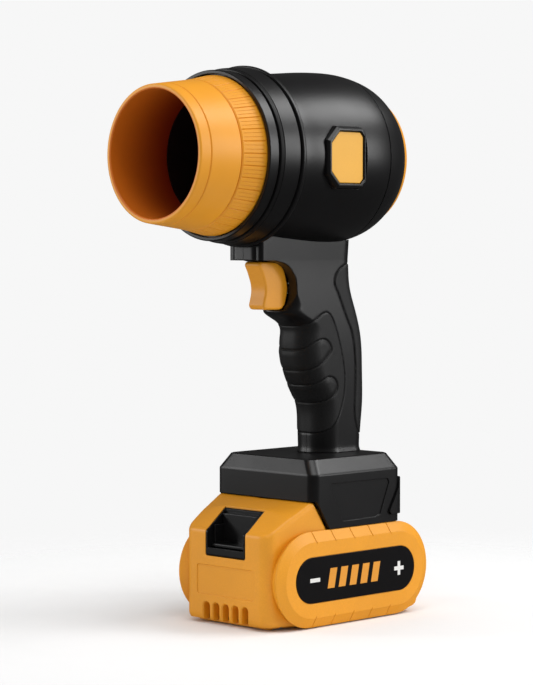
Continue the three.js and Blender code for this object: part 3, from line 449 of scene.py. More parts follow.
def round_max(a, b, radius):
    """The distance to what is inside both a and b, with their shared edge rounded."""
    corner = np.hypot(np.maximum(a + radius, 0), np.maximum(b + radius, 0)) - radius
    larger = np.maximum(a, b)
    return np.where(larger < -radius, larger, corner)


# ---------------------------------------------------------------- node trees
class Bench:
    """A node tree being built."""

    def __init__(self, tree):
        self.tree = tree

    def node(self, kind, settings=None, sockets=None, out=0):
        """Adds any node: its settings are set first, then the values or links of its sockets."""
        made = self.tree.nodes.new(kind)
        for name, value in (settings or {}).items():
            setattr(made, name, value)
        for name, value in (sockets or {}).items():
            self.plug(made.inputs[name], value)
        return Signal(self, made.outputs[out]) if made.outputs else made

    def plug(self, socket, value):
        if isinstance(value, Signal):
            self.tree.links.new(value.socket, socket)
        else:
            socket.default_value = value


class Signal:
    """A socket of a node tree. Sums on it add Math nodes."""

    def __init__(self, bench, socket):
        self.bench, self.socket = bench, socket

    def other(self, out):
        """Another output of the same node."""
        return Signal(self.bench, self.socket.node.outputs[out])

    def maths(self, operation, *values):
        return self.bench.node("ShaderNodeMath", {"operation": operation}, dict(enumerate(values)))

    def __add__(self, value):
        return self.maths("ADD", self, value)

    def __sub__(self, value):
        return self.maths("SUBTRACT", self, value)

    def __rsub__(self, value):
        return self.maths("SUBTRACT", value, self)

    def __mul__(self, value):
        return self.maths("MULTIPLY", self, value)

    def __truediv__(self, value):
        return self.maths("DIVIDE", self, value)

    __radd__ = __add__
    __rmul__ = __mul__

    def fraction(self):
        return self.maths("FRACT", self)

    def hypotenuse(self, other):
        return self.maths("SQRT", self * self + other * other)

    def ramp(self, low, high):
        """0 below low, 1 above high, and smooth between them."""
        sockets = {"Value": self, "From Min": low, "From Max": high}
        settings = {"interpolation_type": "SMOOTHSTEP"}
        return self.bench.node("ShaderNodeMapRange", settings, sockets)


# ---------------------------------------------------------------- finishes
class Finish:
    """A material being made. Its patterns read the place on the object."""

    def __init__(self, name):
        self.material = bpy.data.materials.new(name)
        self.material.use_nodes = True
        self.material.node_tree.nodes.clear()
        self.bench = Bench(self.material.node_tree)
        self.place = self.bench.node("ShaderNodeTexCoord", out="Object")

    def noise(self, scale, detail=3.0, rough=0.6, place=None):
        sockets = {"Vector": place or self.place, "Scale": scale, "Detail": detail, "Roughness": rough}
        return self.bench.node("ShaderNodeTexNoise", None, sockets)

    def cells(self, scale, **settings):
        return self.bench.node("ShaderNodeTexVoronoi", settings, {"Vector": self.place, "Scale": scale})

    def stretched(self, *scale):
        """The place drawn out, so that a pattern on it becomes lines."""
        return self.bench.node("ShaderNodeMapping", None, {"Vector": self.place, "Scale": scale})

    def axes(self):
        parts = self.bench.node("ShaderNodeSeparateXYZ", None, {0: self.place})
        return parts, parts.other("Y"), parts.other("Z")

    def blend(self, factor, first, second):
        """Two colours mixed by a factor."""
        sockets = {0: factor, 6: first, 7: second}
        return self.bench.node("ShaderNodeMix", {"data_type": "RGBA"}, sockets, out=2)

    def edges(self, radius):
        """A normal that rounds crisp edges over a radius in millimetres, and a mask of those edges."""
        rounded = self.bench.node("ShaderNodeBevel", {"samples": 4}, {"Radius": radius * MM})
        flat = self.bench.node("ShaderNodeNewGeometry", out="Normal")
        product = {"operation": "DOT_PRODUCT"}
        alike = self.bench.node("ShaderNodeVectorMath", product, {0: rounded, 1: flat}, out="Value")
        return rounded, (1 - alike).ramp(0.015, 0.22)

    def relief(self, height, depth, normal=None):
        """Bumps of a depth in millimetres, on top of a normal if there is one."""
        sockets = {"Height": height, "Distance": depth * MM, "Strength": 1.0}
        if normal:
            sockets["Normal"] = normal
        return self.bench.node("ShaderNodeBump", None, sockets)

    def done(self, base, rough, fixed, **others):
        """Joins up the shader: what varies over the surface, and the constants on its own sockets."""
        sockets = {"Base Color": base, "Roughness": rough, **fixed, **others}
        shader = self.bench.node("ShaderNodeBsdfPrincipled", None, sockets)
        self.bench.node("ShaderNodeOutputMaterial", None, {"Surface": shader})
        return self.material


def shade(colour, factor):
    return (*(min(1.0, c * factor) for c in colour[:3]), 1.0)


def moulded(name, colour, roughness, grain=0.35, depth=0.012, edge=0.35, worn=1.35):
    """Moulded plastic: a fine spark-eroded grain, faint flow marks, and edges polished by handling."""
    finish = Finish(name)
    grains = finish.noise(1.0 / (grain * MM), 2.0)
    pores = finish.noise(0.45 / (grain * MM), 1.0, 0.5)
    normal, rim = finish.edges(edge)
    wear = rim * (0.35 + finish.noise(160.0, 3.0, 0.65).ramp(0.42, 0.62) * 0.65)
    base = finish.blend(finish.noise(14.0).ramp(0.3, 0.7), shade(colour, 0.95), shade(colour, 1.05))
    base = finish.blend(pores.ramp(0.35, 0.62) * 0.25, base, shade(colour, 0.86))
    base = finish.blend(wear, base, shade(colour, worn))
    rough = roughness - 0.05 + finish.noise(38.0, 4.0) * 0.08 + grains * 0.06 - wear * 0.1
    bumps = finish.relief(grains * 0.7 + pores * 0.3, depth, normal)
    return finish.done(base, rough, {"IOR": 1.5}, Normal=bumps)


def nozzle_finish():
    """The nozzle's plastic, with painted shade that turns its colour deeper and redder down its bore."""
    finish = Finish("nozzle_plastic")
    across, along, up = finish.axes()
    # Painted shade: on the bore's wall the colour darkens and reddens with depth from the rim, where shade
    # falls.
    inner = 1 - across.hypotenuse(up - AXIS_Z * MM).ramp(0.0381, 0.0389)
    down = (along - nozzle_rim * MM) / 0.055
    deep = finish.blend(down.ramp(0.0, 0.9), (0.62, 0.15, 0.008, 1), (0.24, 0.018, 0.002, 1))
    grains = finish.noise(2900.0, 2.0)
    normal, rim = finish.edges(0.35)
    base = finish.blend(finish.noise(14.0).ramp(0.3, 0.7), shade(ORANGE, 0.95), shade(ORANGE, 1.05))
    base = finish.blend(rim * 0.8, base, shade(ORANGE, 1.25))
    base = finish.blend(inner, base, deep)
    rough = 0.34 + finish.noise(38.0, 4.0) * 0.08 + grains * 0.06
    return finish.done(base, rough, {"IOR": 1.5}, Normal=finish.relief(grains, 0.012, normal))


def rubber_finish():
    """Soft overmoulded rubber: a dense speckle of small round pores, dull, with dust in its low places."""
    finish = Finish("grip_rubber")
    pores = finish.cells(1500.0).ramp(0.05, 0.55)
    flow = finish.noise(30.0)
    normal, rim = finish.edges(0.5)
    base = finish.blend(flow.ramp(0.3, 0.7), (0.006, 0.0058, 0.0062, 1), (0.009, 0.0088, 0.009, 1))
    base = finish.blend((1 - pores) * 0.6, base, (0.014, 0.0135, 0.014, 1))
    base = finish.blend(rim * 0.7, base, (0.025, 0.024, 0.024, 1))
    rough = 0.46 + flow * 0.1 - rim * 0.1
    return finish.done(base, rough, {"IOR": 1.46}, Normal=finish.relief(pores, 0.05, normal))


def metal_finish(name, colour, roughness):
    """Bare metal with fine drawn lines and slight tarnish."""
    finish = Finish(name)
    lines = finish.noise(260.0, place=finish.stretched(1.0, 12.0, 12.0))
    tarnish = finish.noise(120.0, 4.0)
    normal, rim = finish.edges(0.15)
    base = finish.blend(tarnish.ramp(0.4, 0.75), colour, shade(colour, 0.72))
    base = finish.blend(rim, base, shade(colour, 1.2))
    rough = roughness + lines * 0.12 + tarnish * 0.08
    return finish.done(base, rough, {"Metallic": 1.0}, Normal=finish.relief(lines, 0.01, normal))


def sleeve_finish():
    """Shrink sleeve on the cells, slightly wrinkled and glossy."""
    finish = Finish("cell_sleeve")
    fade = finish.noise(40.0, 2.0, 0.5)
    base = finish.blend(fade.ramp(0.3, 0.7), (0.02, 0.14, 0.42, 1), (0.03, 0.19, 0.5, 1))
    wrinkles = finish.relief(finish.noise(420.0), 0.08)
    return finish.done(base, 0.3 + fade * 0.15, {"IOR": 1.5}, Normal=wrinkles)


def board_finish():
    """Circuit board lacquer with copper tracks showing faintly through it."""
    finish = Finish("board_lacquer")
    tracks = (finish.cells(260.0, distance="MANHATTAN") * 6.0).fraction().ramp(0.78, 0.86)
    weave = finish.noise(900.0, 2.0, 0.5)
    base = finish.blend(tracks, (0.01, 0.1, 0.035, 1), (0.035, 0.22, 0.08, 1))
    bumps = finish.relief(tracks + weave * 0.3, 0.04)
    return finish.done(base, 0.35 + weave * 0.2, {"IOR": 1.5}, Normal=bumps)


def label_finish():
    """Glossy printed film, almost black, with a fine texture and a few hairline scuffs."""
    finish = Finish("label_film")
    scuffs = finish.noise(30.0, 4.0, 0.7, finish.stretched(1.0, 6.0, 60.0)).ramp(0.62, 0.7)
    normal, rim = finish.edges(0.12)
    base = finish.blend(scuffs * 0.35, (0.006, 0.0055, 0.006, 1), (0.02, 0.02, 0.02, 1))
    base = finish.blend(rim, base, (0.05, 0.05, 0.05, 1))
    bumps = finish.relief(finish.noise(700.0, 2.0, 0.5), 0.012, normal)
    return finish.done(base, 0.3 + scuffs * 0.15, {"Specular IOR Level": 0.2}, Normal=bumps)


def print_finish(name, colour):
    """Ink on the label, with a slight screen texture."""
    finish = Finish(name)
    screen = finish.noise(2200.0, 1.0, 0.5)
    base = finish.blend(screen.ramp(0.35, 0.7), colour, shade(colour, 0.88))
    return finish.done(base, 0.4 + screen * 0.1, {"IOR": 1.5}, Normal=finish.relief(screen, 0.008))


ORANGE = (0.78, 0.315, 0.011, 1.0)

orange_plastic = moulded("orange_plastic", ORANGE, 0.4, worn=1.2)
badge_orange = moulded("badge_orange", (0.8, 0.4, 0.03, 1.0), 0.42, worn=1.12, edge=0.2)
# The tail cone and spinner cone are the same orange plastic; this darker, redder copy of it paints the shade
# they sit in inside the duct.
deep_orange_plastic = moulded("deep_orange_plastic", (0.5, 0.06, 0.008, 1.0), 0.45)
nozzle_plastic = nozzle_finish()
black_plastic = moulded("black_plastic", (0.0052, 0.0049, 0.0053, 1.0), 0.34, grain=0.3, worn=2.6)
duct_plastic = moulded("duct_plastic", (0.008, 0.0075, 0.008, 1.0), 0.42, grain=0.5, worn=2.0)
grip_rubber = rubber_finish()
label_film = label_finish()
white_ink = print_finish("white_ink", (0.75, 0.75, 0.73, 1.0))
orange_ink = print_finish("orange_ink", (0.75, 0.3, 0.02, 1.0))
screw_steel = metal_finish("screw_steel", (0.52, 0.53, 0.54, 1.0), 0.3)
contact_copper = metal_finish("contact_copper", (0.72, 0.36, 0.19, 1.0), 0.28)
cell_sleeve = sleeve_finish()
board_lacquer = board_finish()
lead_rubber = moulded("lead_rubber", (0.012, 0.011, 0.012, 1.0), 0.6, grain=0.25, depth=0.02, worn=1.8)


# ---------------------------------------------------------------- geometry trees
INPUT_KINDS = {int: "NodeSocketInt", float: "NodeSocketFloat", tuple: "NodeSocketVector"}


class Shaper:
    """A geometry tree with named inputs for its sizes. It ends in Realize Instances and Set Material."""

    def __init__(self, name, **sizes):
        self.tree = bpy.data.node_groups.new(name, "GeometryNodeTree")
        self.bench = Bench(self.tree)
        face = self.tree.interface
        face.new_socket("Geometry", in_out="INPUT", socket_type="NodeSocketGeometry")
        face.new_socket("Geometry", in_out="OUTPUT", socket_type="NodeSocketGeometry")
        for label, value in sizes.items():
            socket = face.new_socket(label, in_out="INPUT", socket_type=INPUT_KINDS[type(value)])
            socket.default_value = value
        face.new_socket("material", in_out="INPUT", socket_type="NodeSocketMaterial")
        self.inlet = self.tree.nodes.new("NodeGroupInput")

    def node(self, kind, sockets=None, **settings):
        return self.bench.node(kind, settings, sockets)

    def inputs(self, *labels):
        """The tree's own inputs of these names."""
        return [Signal(self.bench, self.inlet.outputs[label]) for label in labels]

    def point(self, x, y, z):
        return self.node("ShaderNodeCombineXYZ", {"X": x, "Y": y, "Z": z})

    def index(self):
        return self.node("GeometryNodeInputIndex")

    def rotation(self, turn):
        return self.node("FunctionNodeEulerToRotation", {0: turn})

    def copies(self, unit, count, position, **sockets):
        """Instances of a unit on points whose place and turn depend on their index."""
        points = self.node("GeometryNodePoints", {"Count": count, "Position": position})
        return self.node("GeometryNodeInstanceOnPoints", {"Points": points, "Instance": unit, **sockets})

    def joined(self, *parts):
        made = self.tree.nodes.new("GeometryNodeJoinGeometry")
        for part in parts:
            self.tree.links.new(part.socket, made.inputs[0])
        return Signal(self.bench, made.outputs[0])

    def wire(self, curve, radius, sides=10):
        """A round bar along a curve."""
        section = self.node("GeometryNodeCurvePrimitiveCircle", {"Resolution": sides, "Radius": radius})
        sockets = {"Curve": curve, "Profile Curve": section, "Fill Caps": True}
        return self.node("GeometryNodeCurveToMesh", sockets)

    def close(self, result):
        sockets = {"Geometry": self.node("GeometryNodeRealizeInstances", {0: result})}
        (sockets["Material"],) = self.inputs("material")
        self.node("NodeGroupOutput", {0: self.node("GeometryNodeSetMaterial", sockets)})
        return self

    def shape(self, made, material, **sizes):
        """Puts the tree on an object, sets its inputs, and turns the result into a plain mesh."""
        modifier = made.modifiers.new("shape", "NODES")
        modifier.node_group = self.tree
        for item in self.tree.interface.items_tree:
            if item.in_out == "INPUT" and item.name in sizes:
                modifier[item.identifier] = sizes[item.name]
            if item.name == "material":
                modifier[item.identifier] = material
        return settle(made)


def seed_object(name):
    """An object with an empty mesh, for a tree that makes everything itself."""
    return piece(name, np.zeros((0, 3)), [])


def round_array():
    """Copies of the object's own mesh, made about the origin, set round the barrel's axis."""
    shaper = Shaper("set_round_the_barrel", count=8, first=0.0, height=AXIS_Z * MM)
    unit, count, first, height = shaper.inputs("Geometry", "count", "first", "height")
    turn = shaper.point(0.0, shaper.index() * (2 * math.pi) / count + first, 0.0)
    centre = shaper.point(0.0, 0.0, height)
    return shaper.close(shaper.copies(unit, count, centre, Rotation=shaper.rotation(turn)))


def row_array():
    """Copies of the object's own mesh in a row, one step apart."""
    shaper = Shaper("set_in_a_row", count=5, step=(0.0, 0.0, 0.0))
    unit, count, step = shaper.inputs("Geometry", "count", "step")
    place = shaper.node("ShaderNodeVectorMath", {0: step, 3: shaper.index()}, operation="SCALE")
    return shaper.close(shaper.copies(unit, count, place))


def spring_coil():
    """A wire spring wound about Z, then turned and set in its place."""
    sizes = {"turns": 5.0, "radius": 0.003, "wire": 0.0005, "length": 0.01}
    shaper = Shaper("wind_a_spring", turn=(0, 0, 0), place=(0, 0, 0), **sizes)
    turns, radius, wire, length = shaper.inputs("turns", "radius", "wire", "length")
    turn, place = shaper.inputs("turn", "place")
    sockets = {"Resolution": 24, "Rotations": turns, "Height": length}
    sockets.update({"Start Radius": radius, "End Radius": radius})
    coil = shaper.wire(shaper.node("GeometryNodeCurveSpiral", sockets), wire, 8)
    sockets = {"Geometry": coil, "Translation": place, "Rotation": shaper.rotation(turn)}
    return shaper.close(shaper.node("GeometryNodeTransform", sockets))


def intake_grille():
    """Round bars over a shallow dome: rings at even steps of radius, and spokes that follow the dome."""
    sizes = {"rim": 0.0357, "base": 0.042, "rise": 0.008, "bar": 0.00105, "height": AXIS_Z * MM}
    shaper = Shaper("intake_grille", rings=3, first_ring=0.0129, step=0.0075, spokes=8, **sizes)
    rim, base, rise, bar, height = shaper.inputs(*sizes)
    rings, first_ring, step, spokes = shaper.inputs("rings", "first_ring", "step", "spokes")

    def dome(radius):
        share = radius / rim
        return base + rise * (1 - share * share) + bar

    radius = first_ring + shaper.index() * step
    circle = shaper.node("GeometryNodeCurvePrimitiveCircle", {"Resolution": 96, "Radius": 1.0})
    upright = shaper.rotation(shaper.point(math.pi / 2, 0.0, 0.0))
    place, grown_to = shaper.point(0.0, dome(radius), height), shaper.point(radius, radius, radius)
    hoops = shaper.copies(circle, rings, place, Rotation=upright, Scale=grown_to)
    line = shaper.node("GeometryNodeCurvePrimitiveLine", {"Start": (0, 0, 0), "End": (1, 0, 0)})
    line = shaper.node("GeometryNodeResampleCurve", {"Curve": line, "Count": 20})
    share = shaper.node("ShaderNodeSeparateXYZ", {0: shaper.node("GeometryNodeInputPosition")})
    reach = rim * share - share * 0.0015
    bowed = shaper.point(reach, dome(reach), 0.0)
    arm = shaper.node("GeometryNodeSetPosition", {"Geometry": line, "Position": bowed})
    turn = shaper.point(0.0, (shaper.index() + 0.5) * (2 * math.pi) / spokes, 0.0)
    arms = shaper.copies(arm, spokes, shaper.point(0.0, 0.0, height), Rotation=shaper.rotation(turn))
    curves = shaper.node("GeometryNodeRealizeInstances", {0: shaper.joined(hoops, arms)})
    return shaper.close(shaper.wire(curves, bar))


def socket_screws():
    """A cap screw with a six-sided socket at each vertex of the object's mesh, head towards -Z."""
    sizes = {"head": 0.003, "cap": 0.002, "socket": 0.0015, "deep": 0.0012, "shank": 0.0015, "length": 0.01}
    shaper = Shaper("socket_screws", turn=(0.0, 0.0, 0.0), **sizes)
    head, cap, socket, deep, shank, length = shaper.inputs(*sizes)
    places, turn = shaper.inputs("Geometry", "turn")

    def cylinder(sides, radius, depth, low):
        made = shaper.node("GeometryNodeMeshCylinder", {"Vertices": sides, "Radius": radius, "Depth": depth})
        lift = shaper.point(0.0, 0.0, depth * 0.5 + low)
        return shaper.node("GeometryNodeTransform", {"Geometry": made, "Translation": lift})

    solid, hollow = cylinder(32, head, cap, 0.0), cylinder(6, socket, deep * 2, deep * -1)
    cut = shaper.node("GeometryNodeMeshBoolean", {0: solid, 1: hollow}, operation="DIFFERENCE")
    unit = shaper.joined(cut, cylinder(16, shank, length, cap))
    sockets = {"Points": places, "Instance": unit, "Rotation": shaper.rotation(turn)}
    return shaper.close(shaper.node("GeometryNodeInstanceOnPoints", sockets))


around_barrel = round_array()
in_a_row = row_array()
wound_spring = spring_coil()
grille = intake_grille()
screws = socket_screws()


# ---------------------------------------------------------------- barrel
barrel_radius = spline(
    [(-57, 48.8), (-52, 48.9), (-42, 50.0), (-30, 51.1), (-15, 52.3), (0, 52.9), (12, 52.6), (24, 50.7),
     (34, 47.3), (41, 43.0)]
)


def barrel_line(low, high, steps, grow=0.0):
    """Points (y, radius) along the barrel's skin."""
    return [(y, float(barrel_radius(y)) + grow) for y in np.linspace(low, high, steps)]


NOZZLE_RIM_RADIUS, NOZZLE_ROOT_RADIUS, NOZZLE_CONE = 40.5, 44.15, 28.6
GRIP_FRONT, GRIP_FRONT_RADIUS, GRIP_BACK, GRIP_BACK_RADIUS = -99.5, 44.3, -83.6, 47.55


def make_nozzle():
    def skin(y):
        return NOZZLE_RIM_RADIUS + (NOZZLE_ROOT_RADIUS - NOZZLE_RIM_RADIUS) / NOZZLE_CONE * (y - nozzle_rim)

    corners = [
        (nozzle_rim, 37.6, 0.9), (nozzle_rim, NOZZLE_RIM_RADIUS, 1.0),
        (-122.75, skin(-122.75), 0.15), (-122.2, skin(-122.2) - 0.7, 0.1), (-121.65, skin(-121.65), 0.15),
        (-101.2, skin(-101.2), 0.35), (-100.55, skin(-101.2) - 0.9), (-100.5, 42.0), (-69, 42.0, 0.5),
        (-69, 40.2, 0.3), (-84, 40.2), (-84.0, 37.8, 0.3),
    ]
    finish_piece(turned("nozzle_tube", eased(corners)), nozzle_plastic, "nozzle", "nozzle")

    corners = [
        (-100.15, 42.4), (-100.15, 43.6, 0.2), (GRIP_FRONT, GRIP_FRONT_RADIUS, 0.3),
        (GRIP_BACK, GRIP_BACK_RADIUS, 0.4), (-82.3, 47.1, 0.3), (-82.3, 42.4),
    ]
    ring = turned("twist_grip", eased(corners))
    fine = 2 * math.pi / 120
    for name, depth, width, low, high, first in (
        ("broad_lines", 0.6, 0.8, -100.2, -83.2, 0.0),
        ("fine_lines", 0.28, 0.5, -99.2, -84.4, fine),
        ("other_fine_lines", 0.28, 0.5, -99.2, -84.4, 2 * fine),
    ):
        cutter = line_cutter(name, depth, width, low, high)
        around_barrel.shape(cutter, nozzle_plastic, count=40, first=first)
        carve(ring, cutter)
    finish_piece(ring, orange_plastic, "nozzle", "twist_ring")


def line_cutter(name, depth, width, low, high):
    """A cutter for one engraved line: a three-sided bar that runs out at both ends."""
    slope = (GRIP_BACK_RADIUS - GRIP_FRONT_RADIUS) / (GRIP_BACK - GRIP_FRONT)
    rings = []
    for y, share in ((low, 0.05), (low + 1.2, 1), (high - 1.2, 1), (high, 0.05)):
        radius = GRIP_FRONT_RADIUS + (y - GRIP_FRONT) * slope
        top = radius + 0.6
        rings.append([(-width * share, y, top), (0, y, radius - depth * share), (width * share, y, top)])
    return stacked(name, rings)


def make_collar():
    corners = [
        (-84.3, 48.3, 0.4), (-84.3, 50.6, 0.7), (-76.9, 50.7, 0.6), (-76.7, 48.7), (-76.0, 48.7),
        (-75.9, 51.4, 0.4), (-73.9, 51.9, 0.15), (-73.6, 51.6, 0.08), (-73.3, 52.1, 0.15),
        (-61.7, 53.3, 0.5), (-61.3, 52.1), (-60.5, 52.1), (-60.1, 54.3, 0.7), (-57.2, 54.3, 1.3),
        (-57.2, 44.9), (-60, 44.9), (-60.5, 49.6), (-72, 48.8), (-72.5, 44.9), (-81.4, 44.9), (-81.4, 48.3),
    ]
    collar = turned("collar", eased(corners))
    finish_piece(collar, black_plastic, "blower_body", "collar_ring", angle=42)


# ---------------------------------------------------------------- handle
handle_front = spline(
    [(94, -1.2), (118, -1.9), (131, -3.5), (144, -10.9), (157, -16.0), (172, -17.2), (182, -21.2),
     (188.2, -31), (191.4, -28.8), (196, -25.9), (202.5, -25.1), (209.5, -26.3), (215, -30.6),
     (218.4, -38), (219.9, -46)]
)
handle_rear = spline(
    [(94, 35.3), (113, 35.5), (130, 37.1), (150, 36.9), (172, 35.6), (189.5, 30.8), (202, 26.8),
     (214, 25.8), (232, 25.6)]
)
handle_half = spline([(94, 15), (130, 15.5), (170, 15.5), (200, 14.6), (220, 14), (232, 14)])
handle_front_radius = spline([(94, 12.8), (130, 13), (160, 13), (182, 12.5), (188, 11), (196, 3), (220, 2.5)])
HANDLE_REAR_RADIUS = 9
HANDLE_AROUND = 240  # points round a section
NECK_LOW = 219.9  # where the handle meets the neck under the barrel

front_rubber_edge = smooth_path(
    [(-34.1, 176.7), (-26.1, 177.4), (-18.1, 179.1), (-10, 183), (-3.3, 186.7), (0.8, 187.5), (4.3, 185.5),
     (9.1, 176.4), (13.9, 161.1), (16.3, 147.7), (15.4, 135.4), (10.6, 122.4), (6.4, 116.9), (1, 113.4),
     (-5.9, 112), (-20.7, 112.6)], 10
)
rear_rubber_edge = smooth_path(
    [(30, 218), (19.4, 217), (13.1, 214.2), (9, 209.5), (8.3, 204.8), (11.1, 199.1), (18.8, 182.8),
     (23, 174.1), (25.3, 161), (25.8, 144.5), (25.3, 125.4), (26.6, 117.7), (28.7, 113.7), (31.3, 111.6),
     (38, 111)], 10
)
front_rubber = anticlockwise(np.vstack((front_rubber_edge, [(-48, 112.6), (-48, 176.7)])))
rear_rubber = anticlockwise(np.vstack((rear_rubber_edge, [(52, 111), (52, 218)])))


def swell_outline(edge, low, high):
    """A finger swell's outline, carried out past the front of the handle."""
    return anticlockwise(np.vstack((smooth_path(edge, 8), [(-48, low), (-48, high)])))


upper_swell = swell_outline(
    [(-34, 160.5), (-26, 162), (-18.1, 164.1), (-8.7, 169.9), (-4.6, 171.2), (-0.5, 170.6), (2.9, 167.7),
     (3.9, 164.3), (0.9, 160.7), (-4.6, 156.1), (-11.3, 152.7), (-18.1, 150.6), (-26.1, 149.5)], 149, 160
)
lower_swell = swell_outline(
    [(-30, 139.4), (-23.4, 140.1), (-7.3, 143.6), (-1.8, 146.6), (2.3, 147.9), (7.1, 146.2), (9.4, 142.3),
     (7.8, 137.7), (2.3, 133.7), (-4.5, 131.2), (-12.7, 129.7), (-20.7, 128.9), (-30, 128.6)], 128.6, 139.4
)


def depth_inside(points, loop):
    """How far each (y, z) point is inside a loop, below zero outside it."""
    start, end = loop, np.roll(loop, -1, 0)
    along = end - start
    length = np.sum(along**2, 1)
    nearest = np.full(len(points), 1e9)
    inside = np.zeros(len(points), bool)
    for a, b, step, size in zip(start, end, along, length):
        share = np.clip((points - a) @ step / size, 0, 1)
        nearest = np.minimum(nearest, np.linalg.norm(points - a - share[:, None] * step, axis=1))
        crosses = (a[1] > points[:, 1]) != (b[1] > points[:, 1])
        if a[1] != b[1]:
            where = a[0] + (points[:, 1] - a[1]) / (b[1] - a[1]) * step[0]
            inside ^= crosses & (points[:, 0] < where)
    return np.where(inside, nearest, -nearest)


def eased_step(value):
    value = np.clip(value, 0, 1)
    return value * value * (3 - 2 * value)


def swelling(points):
    """How far the rubber stands proud: two finger swells, a groove round each, and an edge rounded down."""
    lift = np.full(len(points), 0.3)
    for loop in (upper_swell, lower_swell):
        depth = depth_inside(points, loop)
        lift += 0.45 * eased_step(depth / 3.5) - 0.8 * np.exp(-((depth / 0.45) ** 2))
    for loop in (front_rubber, rear_rubber):
        depth = depth_inside(points, loop)
        lift -= 0.7 * np.exp(-((depth / 0.45) ** 2)) * (depth > -1)
    return lift


def handle_section(z, inset):
    """The handle's section at a height, moved inwards."""
    half = float(handle_half(z)) - inset
    front, rear = float(handle_front(z)) + inset, float(handle_rear(z)) - inset
    front_radius = max(float(handle_front_radius(z)) - inset, 0.5)
    rear_radius = max(HANDLE_REAR_RADIUS - inset, 0.5)
    corners = [(-half, front, front_radius), (half, front, front_radius)]
    corners += [(half, rear, rear_radius), (-half, rear, rear_radius)]
    loop = eased(corners, steps=14)
    # Points at even spacing round the section, starting in the middle of its front.
    loop = np.vstack(([(0, front)], loop[len(loop) // 4 :], loop[: len(loop) // 4], [(0, front)]))
    travel = np.concatenate(([0], np.cumsum(np.linalg.norm(np.diff(loop, axis=0), axis=1))))
    even = np.linspace(0, travel[-1], HANDLE_AROUND, endpoint=False)
    return np.column_stack((np.interp(even, travel, loop[:, 0]), np.interp(even, travel, loop[:, 1])))


def handle_solid(name, inset, low, high, pitch, lift=None):
    """The handle between two heights, moved inwards, with its skin lifted by a function of (y, z)."""
    levels = np.arange(low, high, pitch).tolist() + [high]
    rings = np.array([along_z(handle_section(z, inset), z) for z in levels])
    if lift is not None:
        outline = rings[:, :, :2]
        along = np.roll(outline, -1, 1) - np.roll(outline, 1, 1)
        along /= np.linalg.norm(along, axis=2)[..., None]
        out = np.stack((along[..., 1], -along[..., 0]), -1)
        middle = np.mean(outline, axis=1, keepdims=True)
        out *= np.sign(np.sum(out * (outline - middle), axis=(1, 2)))[:, None, None]
        rings[:, :, :2] += out * lift(rings[:, :, 1:].reshape(-1, 2)).reshape(rings.shape[:2])[..., None]
    return stacked(name, rings)


def make_rubber():
    for name, loop, low, high in (("front", front_rubber, 110.5, 189.5), ("rear", rear_rubber, 109.0, 219.4)):
        skin = handle_solid(name + "_rubber", 0, low, high, 0.4, swelling)
        carve(skin, side_prism("edge", loop), how="INTERSECT")
        carve(skin, handle_solid("core", 1.4, low - 2, high + 2, 2.0))
        finish_piece(skin, grip_rubber, "blower_body", f"grip_{name}_rubber", angle=55)


# ---------------------------------------------------------------- casing
SCREW_PLACES = [(-49, 226), (17.4, 226.5), (9, 178), (12, 120)]
FOOT_TOP = 100.8
BADGE_MARGIN = 3.4  # width of the badge's pocket round its face


def badge_loop(margin):
    """The badge's octagon in (y, z), with deep chamfers at its front corners."""
    front, back, half = -34.6 - margin, -7.3 + margin, 15.2 + margin
    lead, trail = 7 + margin * 0.4, 2.6 + margin * 0.4
    upper = [(front, half - lead), (front + lead, half), (back - trail, half), (back, half - trail)]
    lower = [(y, -z) for y, z in reversed(upper)]
    return anticlockwise(np.array([(y, AXIS_Z - 0.8 + z) for y, z in upper + lower]))


